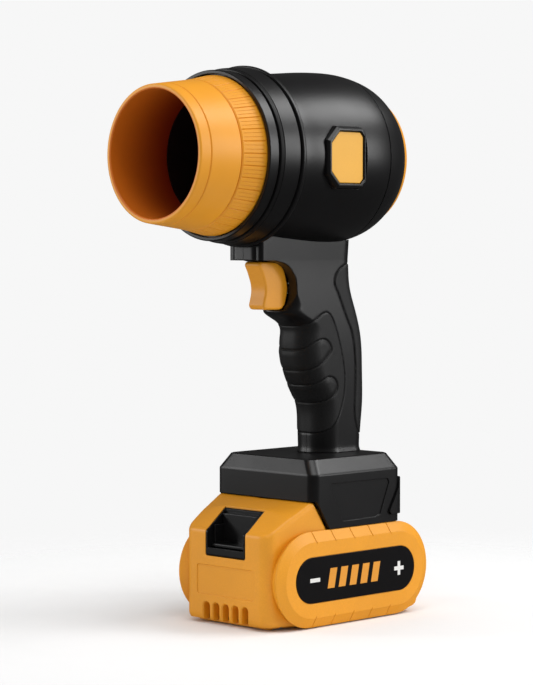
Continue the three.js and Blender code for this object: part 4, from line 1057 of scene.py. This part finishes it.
def make_casing():
    end = 18.3
    skin = barrel_line(-56.9, end, 40)
    outline = [(-79, 42.4), (-79, 44.6), (-56.95, 44.6), (-56.9, skin[0][1] - 0.4)]
    outline += [(y + 0.01, r) for y, r in skin[:-1]] + [(end - 0.35, skin[-1][1]), (end, skin[-1][1] - 0.4)]
    barrel = turned("casing", outline + [(end, 42.4)])

    def neck_plan(half, rear, radius):
        corners = [(-14, -55.4, 2.6), (14, -55.4, 2.6), (half, rear, radius), (-half, rear, radius)]
        return eased(corners, steps=8)

    low_plan = neck_plan(float(handle_half(NECK_LOW)), float(handle_rear(NECK_LOW)), HANDLE_REAR_RADIUS)
    nose_plan = eased([(-11, -56.7, 4.2), (11, -56.7, 4.2), (11, -40), (-11, -40)], steps=8)
    neck = stacked("neck", [along_z(low_plan, 219.8), along_z(neck_plan(14.2, 27.2, 6), 262)])
    levels = ((0.5, 219.8), (0, 220.3), (0, 240))
    nose = stacked("nose", [along_z(inset(nose_plan, deep), z) for deep, z in levels])
    fuse(neck, nose)
    carve(neck, core("collar_room", [(-90, 54.65), (-56.95, 54.65)]))
    room = [(18.25, float(barrel_radius(18.3)) + 0.3)] + barrel_line(18.35, 41, 14, 0.3)
    carve(neck, core("shell_room", room))
    carve(neck, block("neck_inside", (-11.6, 11.6), (-53.6, 23), (222.2, 262.5)))

    def edge_round(points):
        """The casing dips where it meets the rubber."""
        lift = np.zeros(len(points))
        for loop in (front_rubber, rear_rubber):
            lift -= 0.3 * np.exp(-((depth_inside(points, loop) / 0.45) ** 2))
        # The handle flares a little where it meets the foot.
        return lift + 0.7 * np.exp(-(((points[:, 1] - FOOT_TOP) / 1.6) ** 2))

    handle = handle_solid("handle", 0, FOOT_TOP, NECK_LOW, 0.6, edge_round)
    for loop in (front_rubber, rear_rubber):
        carve(handle, side_prism("rubber_room", grown(loop, 0.08)))
    fuse(handle, handle_solid("under_rubber", 1.6, FOOT_TOP, 224, 2.0))
    for name, deep, low, high in (("waist", 5.0, 96.0, 101.8), ("flange", 3.4, 94.5, 97.7)):
        fuse(handle, handle_solid(name, deep, low, high, 0.9))
    fuse(handle, neck)
    carve(handle, handle_solid("hollow", 3.7, 104, 219.85, 2.0), handle_solid("throat", 7.2, 90, 104.8, 2.0))
    carve(handle, block("passage", (-10.5, 10.5), (-20, 20), (219, 224)))
    carve(handle, core("bore", [(-60, 46), (18.6, 46)]))
    fuse(barrel, handle)
    carve(barrel, block("trigger_slot", (-7.4, 7.4), (-60, -8), (189.4, 219.8)))
    pocket = badge_loop(BADGE_MARGIN)
    carve(barrel, side_prism("pocket", pocket, 47.2, 60), side_prism("other_pocket", pocket, -60, -47.2))
    for centre in SCREW_PLACES:
        carve(barrel, side_prism("screw_well", disc_loop(centre, 3.35), -20, -9))
    for word, side in (("right", 1), ("left", -1)):
        half = half_of(barrel, "casing_half_" + word, side)
        finish_piece(half, black_plastic, "blower_body", "casing_" + word, angle=36)
    bpy.data.objects.remove(barrel)

    points = piece("case_screws", [(-11.4, y, z) for y, z in SCREW_PLACES], [])
    screws.shape(points, screw_steel, turn=(0.0, math.pi / 2, 0.0), length=0.0184)
    nodes = [f"case_screw_{i + 1}" for i in range(4)]
    finish_piece(points, screw_steel, "blower_body", nodes)


def make_badges():
    outer = badge_loop(BADGE_MARGIN - 0.3)
    tops = [(0, 47.5), (0, 51.1), (0.25, 51.8), (1.35, 53.0), (1.6, 53.1), (2.7, 53.1)]
    rim = stacked("badge_rim", [on_side(inset(outer, deep), x) for deep, x in tops])
    well = [(0.0, 50.5), (0.0, 52.6), (-0.5, 53.2), (-0.5, 54)]
    carve(rim, stacked("well", [on_side(inset(badge_loop(0.35), deep), x) for deep, x in well]))
    finish_pair(rim, "badge_rim_", black_plastic, "blower_body", "badge_frame_", 25)
    face = slab("badge_face", badge_loop(0.0), 50.9, 52.2, edge=0.45)
    finish_pair(face, "badge_face_", badge_orange, "blower_body", "badge_plate_", 25)


def make_rear():
    skin = barrel_line(18.9, barrel_end - 0.3, 28)
    outline = [(18.7, 46.2), (18.7, float(barrel_radius(18.7)) - 0.35)] + skin
    outline += [(barrel_end, float(barrel_radius(41)) - 0.4), (barrel_end, 38.4)]
    outline += [(38.6, 38.4), (38.6, 42.4), (22, 46.2)]
    shell = turned("tail_shell", outline)
    finish_piece(shell, black_plastic, "blower_body", "rear_shell", angle=42)
    corners = [(41.3, 36.2), (41.3, 42.6, 0.5), (44.2, 41.6, 1.0), (47.2, 38.8, 0.8), (47.2, 36.2, 0.4)]
    ring = turned("tail_ring", eased(corners))
    finish_piece(ring, orange_plastic, "blower_body", "rear_guard_ring", angle=42)

    guard = seed_object("intake_guard")
    grille.shape(guard, black_plastic)
    rim = eased([(41.6, 32.7, 0.5), (46.0, 32.7, 0.6), (46.0, 35.7, 0.6), (41.6, 35.7, 0.5)])
    outline = eased([(49.4, 0.4), (49.4, 6.5, 0.4), (52.4, 6.0, 0.9), (52.8, 0.4)], closed=False)
    boss = core("guard_boss", outline)
    joined = join_pieces("intake_guard", [guard, turned("guard_rim", rim), boss])
    finish_piece(joined, black_plastic, "blower_body", "rear_guard", angle=42)


# ---------------------------------------------------------------- duct, fan and tail cone
def blade(name, root, tip, chord, thick, root_pitch, tip_pitch, middle_y):
    """A twisted blade that stands along +X from the origin's Y axis, with rounded edges."""
    rings = []
    section = rounded_rectangle(chord / 2, thick / 2, thick * 0.45, steps=4)
    for share in np.linspace(0, 1, 14):
        pitch = root_pitch + (tip_pitch - root_pitch) * share
        radius = root + (tip - root) * share
        y = middle_y + section[:, 0] * math.cos(pitch) - section[:, 1] * math.sin(pitch)
        z = section[:, 0] * math.sin(pitch) + section[:, 1] * math.cos(pitch)
        rings.append(np.column_stack((np.sqrt(np.maximum(radius**2 - z**2, 1)), y, z)))
    return stacked(name, rings)


def make_duct():
    corners = [(-83, 38.35, 0.4), (-83, 39.85, 0.4), (-47.35, 39.85), (-47.35, 38.35)]
    sleeve = turned("front_duct", eased(corners))
    finish_piece(sleeve, duct_plastic, "blower_body", "duct_sleeve")

    wall = turned("stator", eased([(-47, 38.35), (-47, 39.85), (33.9, 39.85, 0.4), (33.9, 38.35, 0.4)]))
    corners = [(-46, 18.35), (-46, 20.3, 0.3), (-2, 20.3, 0.5), (-2, 8.8, 0.3), (-3.6, 8.8), (-3.6, 18.35)]
    pod = turned("pod", eased(corners))
    vanes = blade("vanes", 19.4, 38.9, 30, 2, 0.12, 0.3, -24)
    around_barrel.shape(vanes, duct_plastic, count=7, first=-math.pi / 2)
    strut = block("strut", (-3.4, 3.4), (-38, -22), (AXIS_Z - 39.0, AXIS_Z - 19.4), 0.8)
    stator = fuse(join_pieces("stator", [wall, pod]), vanes, strut)
    carve(stator, block("lead_way", (-2.2, 2.2), (-33, -27), (AXIS_Z - 42, AXIS_Z - 16.8)))
    finish_piece(stator, duct_plastic, "blower_body", "stator_duct")

    nose_points = [(-81.95, 0.6), (-80.6, 7), (-77, 13), (-70.5, 17), (-60, 19.4), (-46.35, 20.25)]
    outside = smooth_path(nose_points, 7)
    inside = smooth_path([(-46.35, 18.3), (-60, 17.6), (-70, 15), (-75.6, 11), (-79.4, 5), (-80.2, 0.6)], 5)
    cone = turned("motor_nose", np.vstack((outside, inside)), turns=96)
    tip = core("cone_tip", [(-81.95, 0.62), (-80.2, 0.62)])
    cone = fuse(cone, tip)
    # The tail cone gets the orange with painted shade.
    finish_piece(cone, deep_orange_plastic, "blower_body", "tail_cone", angle=50)

    corners = [(3, 17), (3, 19.5, 0.4), (25, 19.5, 0.3), (25, 2.8), (9, 2.8), (9, 17)]
    hub = turned("fan", eased(corners), turns=128)
    wings = blade("wings", 18.6, 36.9, 20, 1.8, 0.62, 1.02, 15)
    around_barrel.shape(wings, duct_plastic, count=9, first=0.0)
    fuse(hub, wings)
    finish_piece(hub, duct_plastic, "impeller", "impeller")
    outside = smooth_path([(25.3, 19.5), (30, 18.6), (35, 13.9), (38, 7), (38.6, 0.6)], 7)
    cap = turned("fan_cap", np.vstack((outside, [(31.4, 0.6), (31.4, 2.8), (25.3, 2.8)])), turns=96)
    cap = fuse(cap, core("cap_tip", [(31.4, 0.62), (38.6, 0.62)]))
    # The spinner cone gets the orange with painted shade.
    finish_piece(cap, deep_orange_plastic, "impeller", "spinner_cone", angle=50)


# ---------------------------------------------------------------- trigger
def make_trigger():
    corners = [
        (-50.9, 219.0, 2.6), (-47.2, 212.5, 20), (-43.2, 202.5, 24), (-46.8, 189.9, 2.8), (-28.0, 189.9, 5.5),
        (-24.6, 203.0, 14), (-29.5, 219.0, 10),
    ]
    lever = slab("trigger_lever", eased(corners, steps=10), -6.8, 6.8, edge=1.4, both=True, steps=6)
    fuse(lever, block("pad", (-5, 5), (-32, -24.0), (198.5, 206.5), 0.8))
    stem = rod("stem", [(0, -28, 202.5), (0, -22, 202.5), (0, -16, 202.5)], [2, 2, 2], 24)
    fuse(lever, stem)
    finish_piece(lever, orange_plastic, "trigger", "trigger", angle=42)
    spring = seed_object("return_spring")
    sizes = {"turns": 4.0, "radius": 0.0032, "wire": 0.00045, "length": 0.0084}
    sizes.update({"turn": (-math.pi / 2, 0.0, 0.0), "place": (0.0, -0.02325, 0.2025)})
    wound_spring.shape(spring, screw_steel, **sizes)
    finish_piece(spring, screw_steel, "trigger", "trigger_spring", angle=50)
    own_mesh(spring)


# ---------------------------------------------------------------- foot
FOOT_HALF, FOOT_LENGTH, FOOT_CORNER = 42.3, 78.6, 6


def foot_block(name, deep, low):
    """The foot's outside moved inwards: upright sides, a soft shoulder and a chamfer up to its top."""
    stations = [(low, 0.0), (90.6, 0.0), (91.5, 0.15), (92.3, 0.75), (99.3, 5.75), (100.1, 6.3), (100.5, 7.3)]
    rings = []
    for z, back in stations:
        share = back / 6.5
        half, length = FOOT_HALF - deep - back, FOOT_LENGTH / 2 - deep - 3.8 * share
        corner = max(FOOT_CORNER - deep, 1.2)
        at = z if z == low else z - deep * (0.4 if back < 1 else 1)
        rings.append(along_z(rounded_rectangle(half, length, corner, steps=14), at))
    return stacked(name, rings)


def make_foot():
    foot = foot_block("foot", 0, 56)
    skirt = [(-60, 75.6), (-36, 75.6), (-25.3, 58.5), (60, 58.5), (60, 120), (-60, 120)]
    carve(foot, side_prism("skirt", skirt, -60, 60), how="INTERSECT")
    carve(foot, foot_block("foot_inside", 2.5, 50))
    for low, high in ((30.6, 40.5), (-40.5, -30.6)):
        fuse(foot, block("rail", (low, high), (-20, 37.4), (59.2, 63.3)))
    for x in (-24, 24):
        for y in (-22, 22):
            fuse(foot, prism("post", disc_loop((x, y), 2.6), along_z, 91.3, 98.6))
    carve(foot, handle_solid("mouth", 4.7, 88, 103, 2.0))
    # The side faces have a shallow engraved panel, open towards the back in a slant.
    corners = [(-25, 85.8, 0.6), (-13.6, 62.2, 0.8), (15.7, 62.6, 2), (19.6, 63.8, 1.5)]
    panel = eased(corners + [(27.9, 83.2, 1.2), (26.5, 85.6, 1.2)])
    for low, high in ((41.7, 50), (-50, -41.7)):
        carve(foot, side_prism("panel", panel, low, high))
    finish_piece(foot, black_plastic, "blower_body", "foot_housing", angle=30)

    def around(name, grow):
        loop = rounded_rectangle(FOOT_HALF + grow, FOOT_LENGTH / 2 + grow, FOOT_CORNER + grow, steps=14)
        return prism(name, loop, along_z, 50, 100)

    band = around("foot_band", 1.6)
    edge = eased([(60, 85.6), (39.1, 85.6, 1.6), (26.9, 65.2, 0.9), (28.6, 63.2, 0.9), (60, 63.2)])
    carve(band, side_prism("band_edge", edge, -60, 60), how="INTERSECT")
    carve(band, around("band_room", 0.15))
    finish_piece(band, black_plastic, "blower_body", "foot_rear_band", angle=30)


# ---------------------------------------------------------------- battery pack
PACK_FRONT, PACK_BACK, PACK_HALF = -71.3, 58.5, 41.2
PACK_DECK, PACK_TOP = 58.2, 75.1
BULGE_Z, BULGE_RADIUS = 29.4, 28.8  # the side bulges' middle height and the radius of their round ends


def pack_edge(x, y):
    """Distance to the pack's outline seen from above."""
    x = np.abs(x)
    nose = 0.9778 * (x - 35.2) - 0.2093 * (y + 72.0)
    ends = np.maximum(-72.0 - y, y - PACK_BACK)
    return round_max(round_max(ends, nose, 6.5), x - PACK_HALF, 6.0)


def pack_top(x, y, z):
    """Distance to the pack's top: the deck, and the crowned slope in front of the foot."""
    x, ahead = np.abs(x), y - PACK_FRONT
    crown = np.minimum(57 + 13.3 * ahead / 16.3, 70.3 + 4.9 * (y + 55) / 16.6)
    side = 57 + 18.2 * ahead / 32.9
    share = np.clip((x - 20) / 19, 0, 1)
    share = share + 0.06 * np.exp(-(((x - 20) / 3.0) ** 2))
    slope = (z - crown - (side - crown) * share) * 0.82
    back = 0.8487 * (y + 36.3) + 0.5292 * (z - 75.0)
    hump = round_max(round_max(slope, back, 0.8), z - PACK_TOP, 0.8)
    return np.minimum(hump, z - PACK_DECK)


def pack_distance(x, y, z):
    sides = round_max(pack_edge(x, y), pack_top(x, y, z), 2.6)
    # The back is rounded in profile like the side bulges, and more tightly below.
    round_end = np.hypot(y - 34.5, z - BULGE_Z) - BULGE_RADIUS
    rear = np.where((z > BULGE_Z) & (y > 34.5), round_end, -9.0)
    lower = np.hypot(np.maximum(y - 44.5, 0), np.minimum(z - 15.0, 0)) - 14.0
    return round_max(round_max(round_max(sides, rear, 1.5), lower, 1.0), 1.0 - z, 5.0)


def pack_plan(deep):
    """The pack's outline seen from above as a loop, moved inwards."""
    front, back, nose, half = PACK_FRONT + deep, PACK_BACK - deep, 34.5 - deep, PACK_HALF - deep
    corner = max(8 - deep, 1.5)
    right = [(nose, front, corner), (half, -40, 3), (half, back, corner)]
    left = [(-x, y, radius) for x, y, radius in reversed(right)]
    return eased([left[-1]] + right + left[:-1], steps=8)


def make_battery():
    def inside(x, y, z):
        return np.maximum(pack_distance(x, y, z) + 2.5, 3.7 - z)

    low, high = (-PACK_HALF, PACK_FRONT, 1.0), (PACK_HALF, PACK_BACK, 75.2)
    case = netted("pack_case", pack_distance, low, high, 1.0)
    carve(case, netted("pack_inside", inside, (-38.7, -68.8, 3.7), (38.7, 56, 72.7), 2.0))
    for bounds_x, high in (((-30, 30), (57.2, 64)), ((-35, 35), (63.8, 70))):
        fuse(case, block("rail_head", bounds_x, (-22, 24), high, 0.6))
    carve(case, block("head_inside", (-8, 8), (-19, 21), (50, 67.5)))
    fuse(case, block("vent_wall", (-21, 21), (-70, -63), (3.7, 16.5)))
    carve(case, prism("hatch", pack_plan(4.6), along_z, -1, 5))
    for x in (12, -12):
        carve(case, block("contact_slot", (x - 2.2, x + 2.2), (2, 30), (60.4, 80)))

    # Five round-topped vents run down over the front's lower edge.
    arch = eased([(-2.7, -3), (2.7, -3), (2.7, 13.3, 2.6), (-2.7, 13.3, 2.6)])
    arch = np.column_stack((arch[:, 0] - 16.5, arch[:, 1]))
    flare = grown(arch, 0.55)
    mouth_to_back = ((flare, -80), (flare, -71.9), (arch, -71.3), (arch, -64.6))
    vent = stacked("vents", [along_y(loop, y) for loop, y in mouth_to_back])
    in_a_row.shape(vent, orange_plastic, count=5, step=(8.25 * MM, 0.0, 0.0))
    carve(case, vent)
    recess = rounded_rectangle(24.5, 8.9, 1.6, centre=(0, 26.9))
    steps_in = ((0.5, -80), (0.3, -72.0), (0, -71.45))
    carve(case, stacked("panel", [along_y(grown(recess, out), y) for out, y in steps_in]))
    mouth = eased([(-17.2, 41.5, 1.6), (17.2, 41.5, 1.6), (17.2, 90), (-17.2, 90)])
    carve(case, prism("latch_mouth", mouth, along_y, -80, -55))
    carve(case, block("tooth_slot", (-5.3, 5.3), (-39, -20), (59.5, 90)))
    carve(case, block("arm_slot", (-5, 5), (-56, -48), (59.5, 66.5)))
    finish_piece(case, orange_plastic, "battery", "battery_case", angle=36)

    levels = ((5.3, 1.0), (4.9, 1.4), (4.9, 3.4))
    cover = stacked("base_cover", [along_z(pack_plan(deep), z) for deep, z in levels])
    for side in (-1, 1):
        for middle, low, high in ((22.5, -63, -59.6), (24.5, 37, 45)):
            centre = side * middle
            fuse(cover, block("pad", (centre - 5.5, centre + 5.5), (low, high), (0, 1.6), 0.5))
    disc = disc_loop((0, 0), 14, 64)
    fuse(cover, slab("round_pad", disc, -1.6, 0, 0.5, place=lambda loop, z: along_z(loop, -z)))
    places = [(-29, -56), (29, -56), (-29, 49.3), (29, 49.3)]
    for place in places:
        carve(cover, prism("screw_well", disc_loop(place, 3.3), along_z, -1, 2.2))
        carve(cover, prism("screw_way", disc_loop(place, 1.5, 16), along_z, 1, 5))
    finish_piece(cover, orange_plastic, "battery", "battery_base", angle=36)
    points = piece("base_screws", [(x, y, 1.1) for x, y in places], [])
    sizes = {"cap": 0.9 * MM, "socket": 1.3 * MM, "deep": 0.5 * MM, "shank": 1.2 * MM, "length": 10 * MM}
    screws.shape(points, screw_steel, **sizes)
    finish_piece(points, screw_steel, "battery", [f"base_screw_{i + 1}" for i in range(4)])


def side_ring(x, radius):
    """The side bulge's outline at x, which shrinks with the radius of its round ends."""
    shrink = BULGE_RADIUS - radius
    return on_side(stadium(-71 + shrink, 63.3 - shrink, BULGE_Z, radius, steps=40), x)


def tick_cutter(name, first, low, high, lean):
    """A cutter for one short slanted groove across the bulge's bevel."""
    rings = []
    for y, x, z in ((first, 41.5, low), (first + lean, 44.95, high)):
        corners = ((-0.35, -0.9), (0.35, -0.9), (0.35, 0.9), (-0.35, 0.9))
        rings.append([(x, y + along, z + up) for along, up in corners])
    return stacked(name, rings)


def make_side_panels():
    stations = [(33, 24.3), (41.0, 28.65), (41.35, BULGE_RADIUS), (41.85, 28.72), (42.15, 28.4)]
    stations += [(44.15, 23.6), (44.5, 23.1), (panel_face, 22.6)]
    bulge = stacked("side_bulge", [side_ring(x, radius) for x, radius in stations])
    pocket = stadium(-57.0, 48.6, BULGE_Z, 14.0, steps=40)
    carve(bulge, side_prism("label_pocket", pocket, panel_face - 0.6, 60))
    carve(bulge, prism("case_room", pack_plan(-0.05), along_z, -5, 80))
    for ticks in (("upper_ticks", -41.2, 59.35, 51.1, 2.5), ("lower_ticks", -40.9, -0.55, 7.7, 1.5)):
        cutter = tick_cutter(*ticks)
        in_a_row.shape(cutter, orange_plastic, count=5, step=(0.0, 16.45 * MM, 0.0))
        carve(bulge, cutter)
    finish_pair(bulge, "side_bulge_", orange_plastic, "battery", "side_panel_", 24)
    outline = stadium(-56.7, 48.3, BULGE_Z, 13.7, steps=40)
    film = slab("label_film", outline, panel_face - 0.45, label_face - 0.05, edge=0.15)
    finish_pair(film, "label_film_", label_film, "battery", "label_", 24)


def make_marks():
    """A plain charge gauge on the label: a row of slanted bars between a minus and a plus sign."""

    def mark(name, loop):
        return slab(name, loop, label_face - 0.12, label_face, edge=0.05)

    bars = mark("charge_bars", [(-30, 23.4), (-24, 23.4), (-21.5, 35.4), (-27.5, 35.4)])
    in_a_row.shape(bars, orange_ink, count=5, step=(0.0, 9.6 * MM, 0.0))
    finish_pair(bars, "charge_bars_", orange_ink, "battery", None, 30)
    minus = mark("minus", [(-45, 28.2), (-36.5, 28.2), (-36.5, 30.6), (-45, 30.6)])
    middle, reach, arm = (34.0, BULGE_Z), 4.3, 1.2
    quarter = [(-arm, -reach), (arm, -reach), (arm, -arm)]
    turns = ((1, 0), (0, 1), (-1, 0), (0, -1))
    cross = [(middle[0] + y * c - z * s, middle[1] + y * s + z * c) for c, s in turns for y, z in quarter]
    signs = join_pieces("signs", [minus, mark("plus", cross)])
    finish_pair(signs, "signs_", white_ink, "battery", None, 30)


def make_latch():
    # The tray that the button sits in, open at its front and top.
    outline = eased([(-72.1, 41.8, 0.9), (-55.3, 41.8), (-55.3, 69.9, 0.5), (-72.1, 56.6, 1.6)])
    tray = slab("latch_tray", outline, -16.95, 16.95, edge=0.7, both=True)
    carve(tray, block("tray_well", (-15.4, 15.4), (-70.4, -56.8), (43, 90), 0.5))
    carve(tray, block("tray_front", (-15.4, 15.4), (-76, -69), (46.5, 90), 0.4))
    carve(tray, block("arm_window", (-4.5, 4.5), (-60.3, -50.3), (58.6, 66.2)))
    fuse(tray, block("spring_shelf", (-6, 6), (-56.3, -45.8), (45.7, 48)))
    finish_piece(tray, black_plastic, "battery", "latch_bezel")

    button = block("latch_key", (-15.1, 15.1), (-69.3, -57.1), (46.8, 49), 0.7)
    fuse(button, block("key_back", (-15.1, 15.1), (-59.5, -57.1), (46.8, 66.4), 0.6))
    for low, high in ((-15.1, -13.7), (13.7, 15.1)):
        fuse(button, block("cheek", (low, high), (-67, -57.3), (48, 60), 0.4))
    fuse(button, block("arm", (-4, 4), (-58.3, -33), (62.4, 65.4)))
    fuse(button, block("tooth", (-4, 4), (-36.5, -33), (64, 73.4), 0.4))
    finish_piece(button, black_plastic, "latch_button", "latch_button")
    spring = seed_object("latch_coil")
    sizes = {"turns": 5.0, "radius": 0.003, "wire": 0.0005, "length": 12.8 * MM}
    wound_spring.shape(spring, screw_steel, place=(0.0, -50.1 * MM, 48.8 * MM), **sizes)
    finish_piece(spring, screw_steel, "latch_button", "latch_spring", angle=50)
    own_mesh(spring)


# ---------------------------------------------------------------- what stays as the CAD has it
CARRIED_OVER = {
    screw_steel: ["motor_case", "bearing_front", "bearing_rear", "rotor", "motor_shaft"],
    contact_copper: ["blade_positive", "blade_negative", "contact_clip_positive", "contact_clip_negative"],
    lead_rubber: ["motor_lead", "switch_lead"],
    black_plastic: ["switch_module", "terminal_block"],
    board_lacquer: ["controller_board", "bms_board"],
    cell_sleeve: [f"cell_pair_{i + 1}" for i in range(5)],
}


def dress_nodes():
    for material, names in CARRIED_OVER.items():
        for name in names:
            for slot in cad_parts[name].material_slots:
                slot.link = "OBJECT"
                slot.material = material


# ---------------------------------------------------------------- camera, floor and light
def look(azimuth, elevation):
    """The direction from the object towards a viewer."""
    a, e = math.radians(azimuth), math.radians(elevation)
    return Vector((math.sin(a) * math.cos(e), -math.cos(a) * math.cos(e), math.sin(e)))


def aimed(name, data, azimuth, elevation, distance, target):
    """A camera or light in the scene, at a distance from the point that it looks at."""
    back = look(azimuth, elevation)
    made = bpy.data.objects.new(name, data)
    made.location = Vector(target) * MM + back * distance
    made.rotation_euler = back.to_track_quat("Z", "Y").to_euler()
    bpy.context.scene.collection.objects.link(made)
    return made


def make_camera():
    data = bpy.data.cameras.new("camera")
    data.lens = 123.09
    data.clip_start, data.clip_end = 0.05, 50
    bpy.context.scene.camera = aimed("camera", data, 45.01, 2.58, 1.4505, (-18.44, -18.45, 168.66))


def softbox(name, azimuth, elevation, distance, size, power):
    data = bpy.data.lights.new(name, "AREA")
    data.shape = "RECTANGLE"
    data.size, data.size_y = size
    data.energy = power
    aimed(name, data, azimuth, elevation, distance, (0, 0, 170))


def make_floor():
    """A pale floor that fades out into the backdrop's tone."""
    finish = Finish("pale_floor")
    across, along, _ = finish.axes()
    grain = finish.noise(60.0)
    base = finish.blend(grain, (0.85, 0.85, 0.85, 1), (0.87, 0.87, 0.87, 1))
    seen = 1 - across.hypotenuse(along).ramp(0.08, 0.48)
    material = finish.done(base, 0.7 + grain * 0.1, {"IOR": 1.4}, Alpha=seen)
    loops = [disc_loop((0, 0), radius, 64) for radius in (1, 100, 300, 700, 1400)]
    rings = np.array([along_z(loop, -0.02) for loop in loops])
    faces = grid_faces(len(loops), 64) + [list(range(64))]
    floor = piece("floor", rings.reshape(-1, 3), faces)
    outward(floor)
    if floor.data.polygons[0].normal.z < 0:
        floor.data.flip_normals()
    floor.data.materials.append(material)
    floor.visible_glossy = False


def make_world():
    """Pale surroundings, brighter where they are seen directly than as a light."""
    world = bpy.data.worlds.new("studio")
    bpy.context.scene.world = world
    world.use_nodes = True
    world.node_tree.nodes.clear()
    bench = Bench(world.node_tree)
    direct = bench.node("ShaderNodeLightPath", out="Is Camera Ray")
    glossy = direct.other("Is Glossy Ray")

    def sky(tone, strength):
        sockets = {"Color": (tone, tone, tone, 1), "Strength": strength}
        return bench.node("ShaderNodeBackground", None, sockets)

    shown, cast, dim = sky(0.93, 1.0), sky(1, 0.7), sky(1, 0.06)
    unseen = bench.node("ShaderNodeMixShader", None, {0: glossy, 1: cast, 2: dim})
    both = bench.node("ShaderNodeMixShader", None, {0: direct, 1: unseen, 2: shown})
    bench.node("ShaderNodeOutputWorld", None, {"Surface": both})


def make_lights():
    softbox("side_softbox", 127, 14, 1.9, (0.5, 0.7), 10)
    softbox("shoulder_light", 148, 46, 1.9, (0.9, 0.7), 13)
    softbox("front_fill", -50, 12, 2.1, (0.4, 1.0), 9)
    softbox("top_light", 60, 70, 1.9, (1.2, 0.8), 12)


make_camera()
make_world()
make_floor()
make_lights()
bpy.context.scene.view_settings.view_transform = "Standard"
bpy.context.scene.view_settings.look = "None"

make_nozzle()
make_collar()
make_casing()
make_rubber()
make_badges()
make_rear()
make_duct()
make_trigger()
make_foot()
make_battery()
make_side_panels()
make_marks()
make_latch()
dress_nodes()
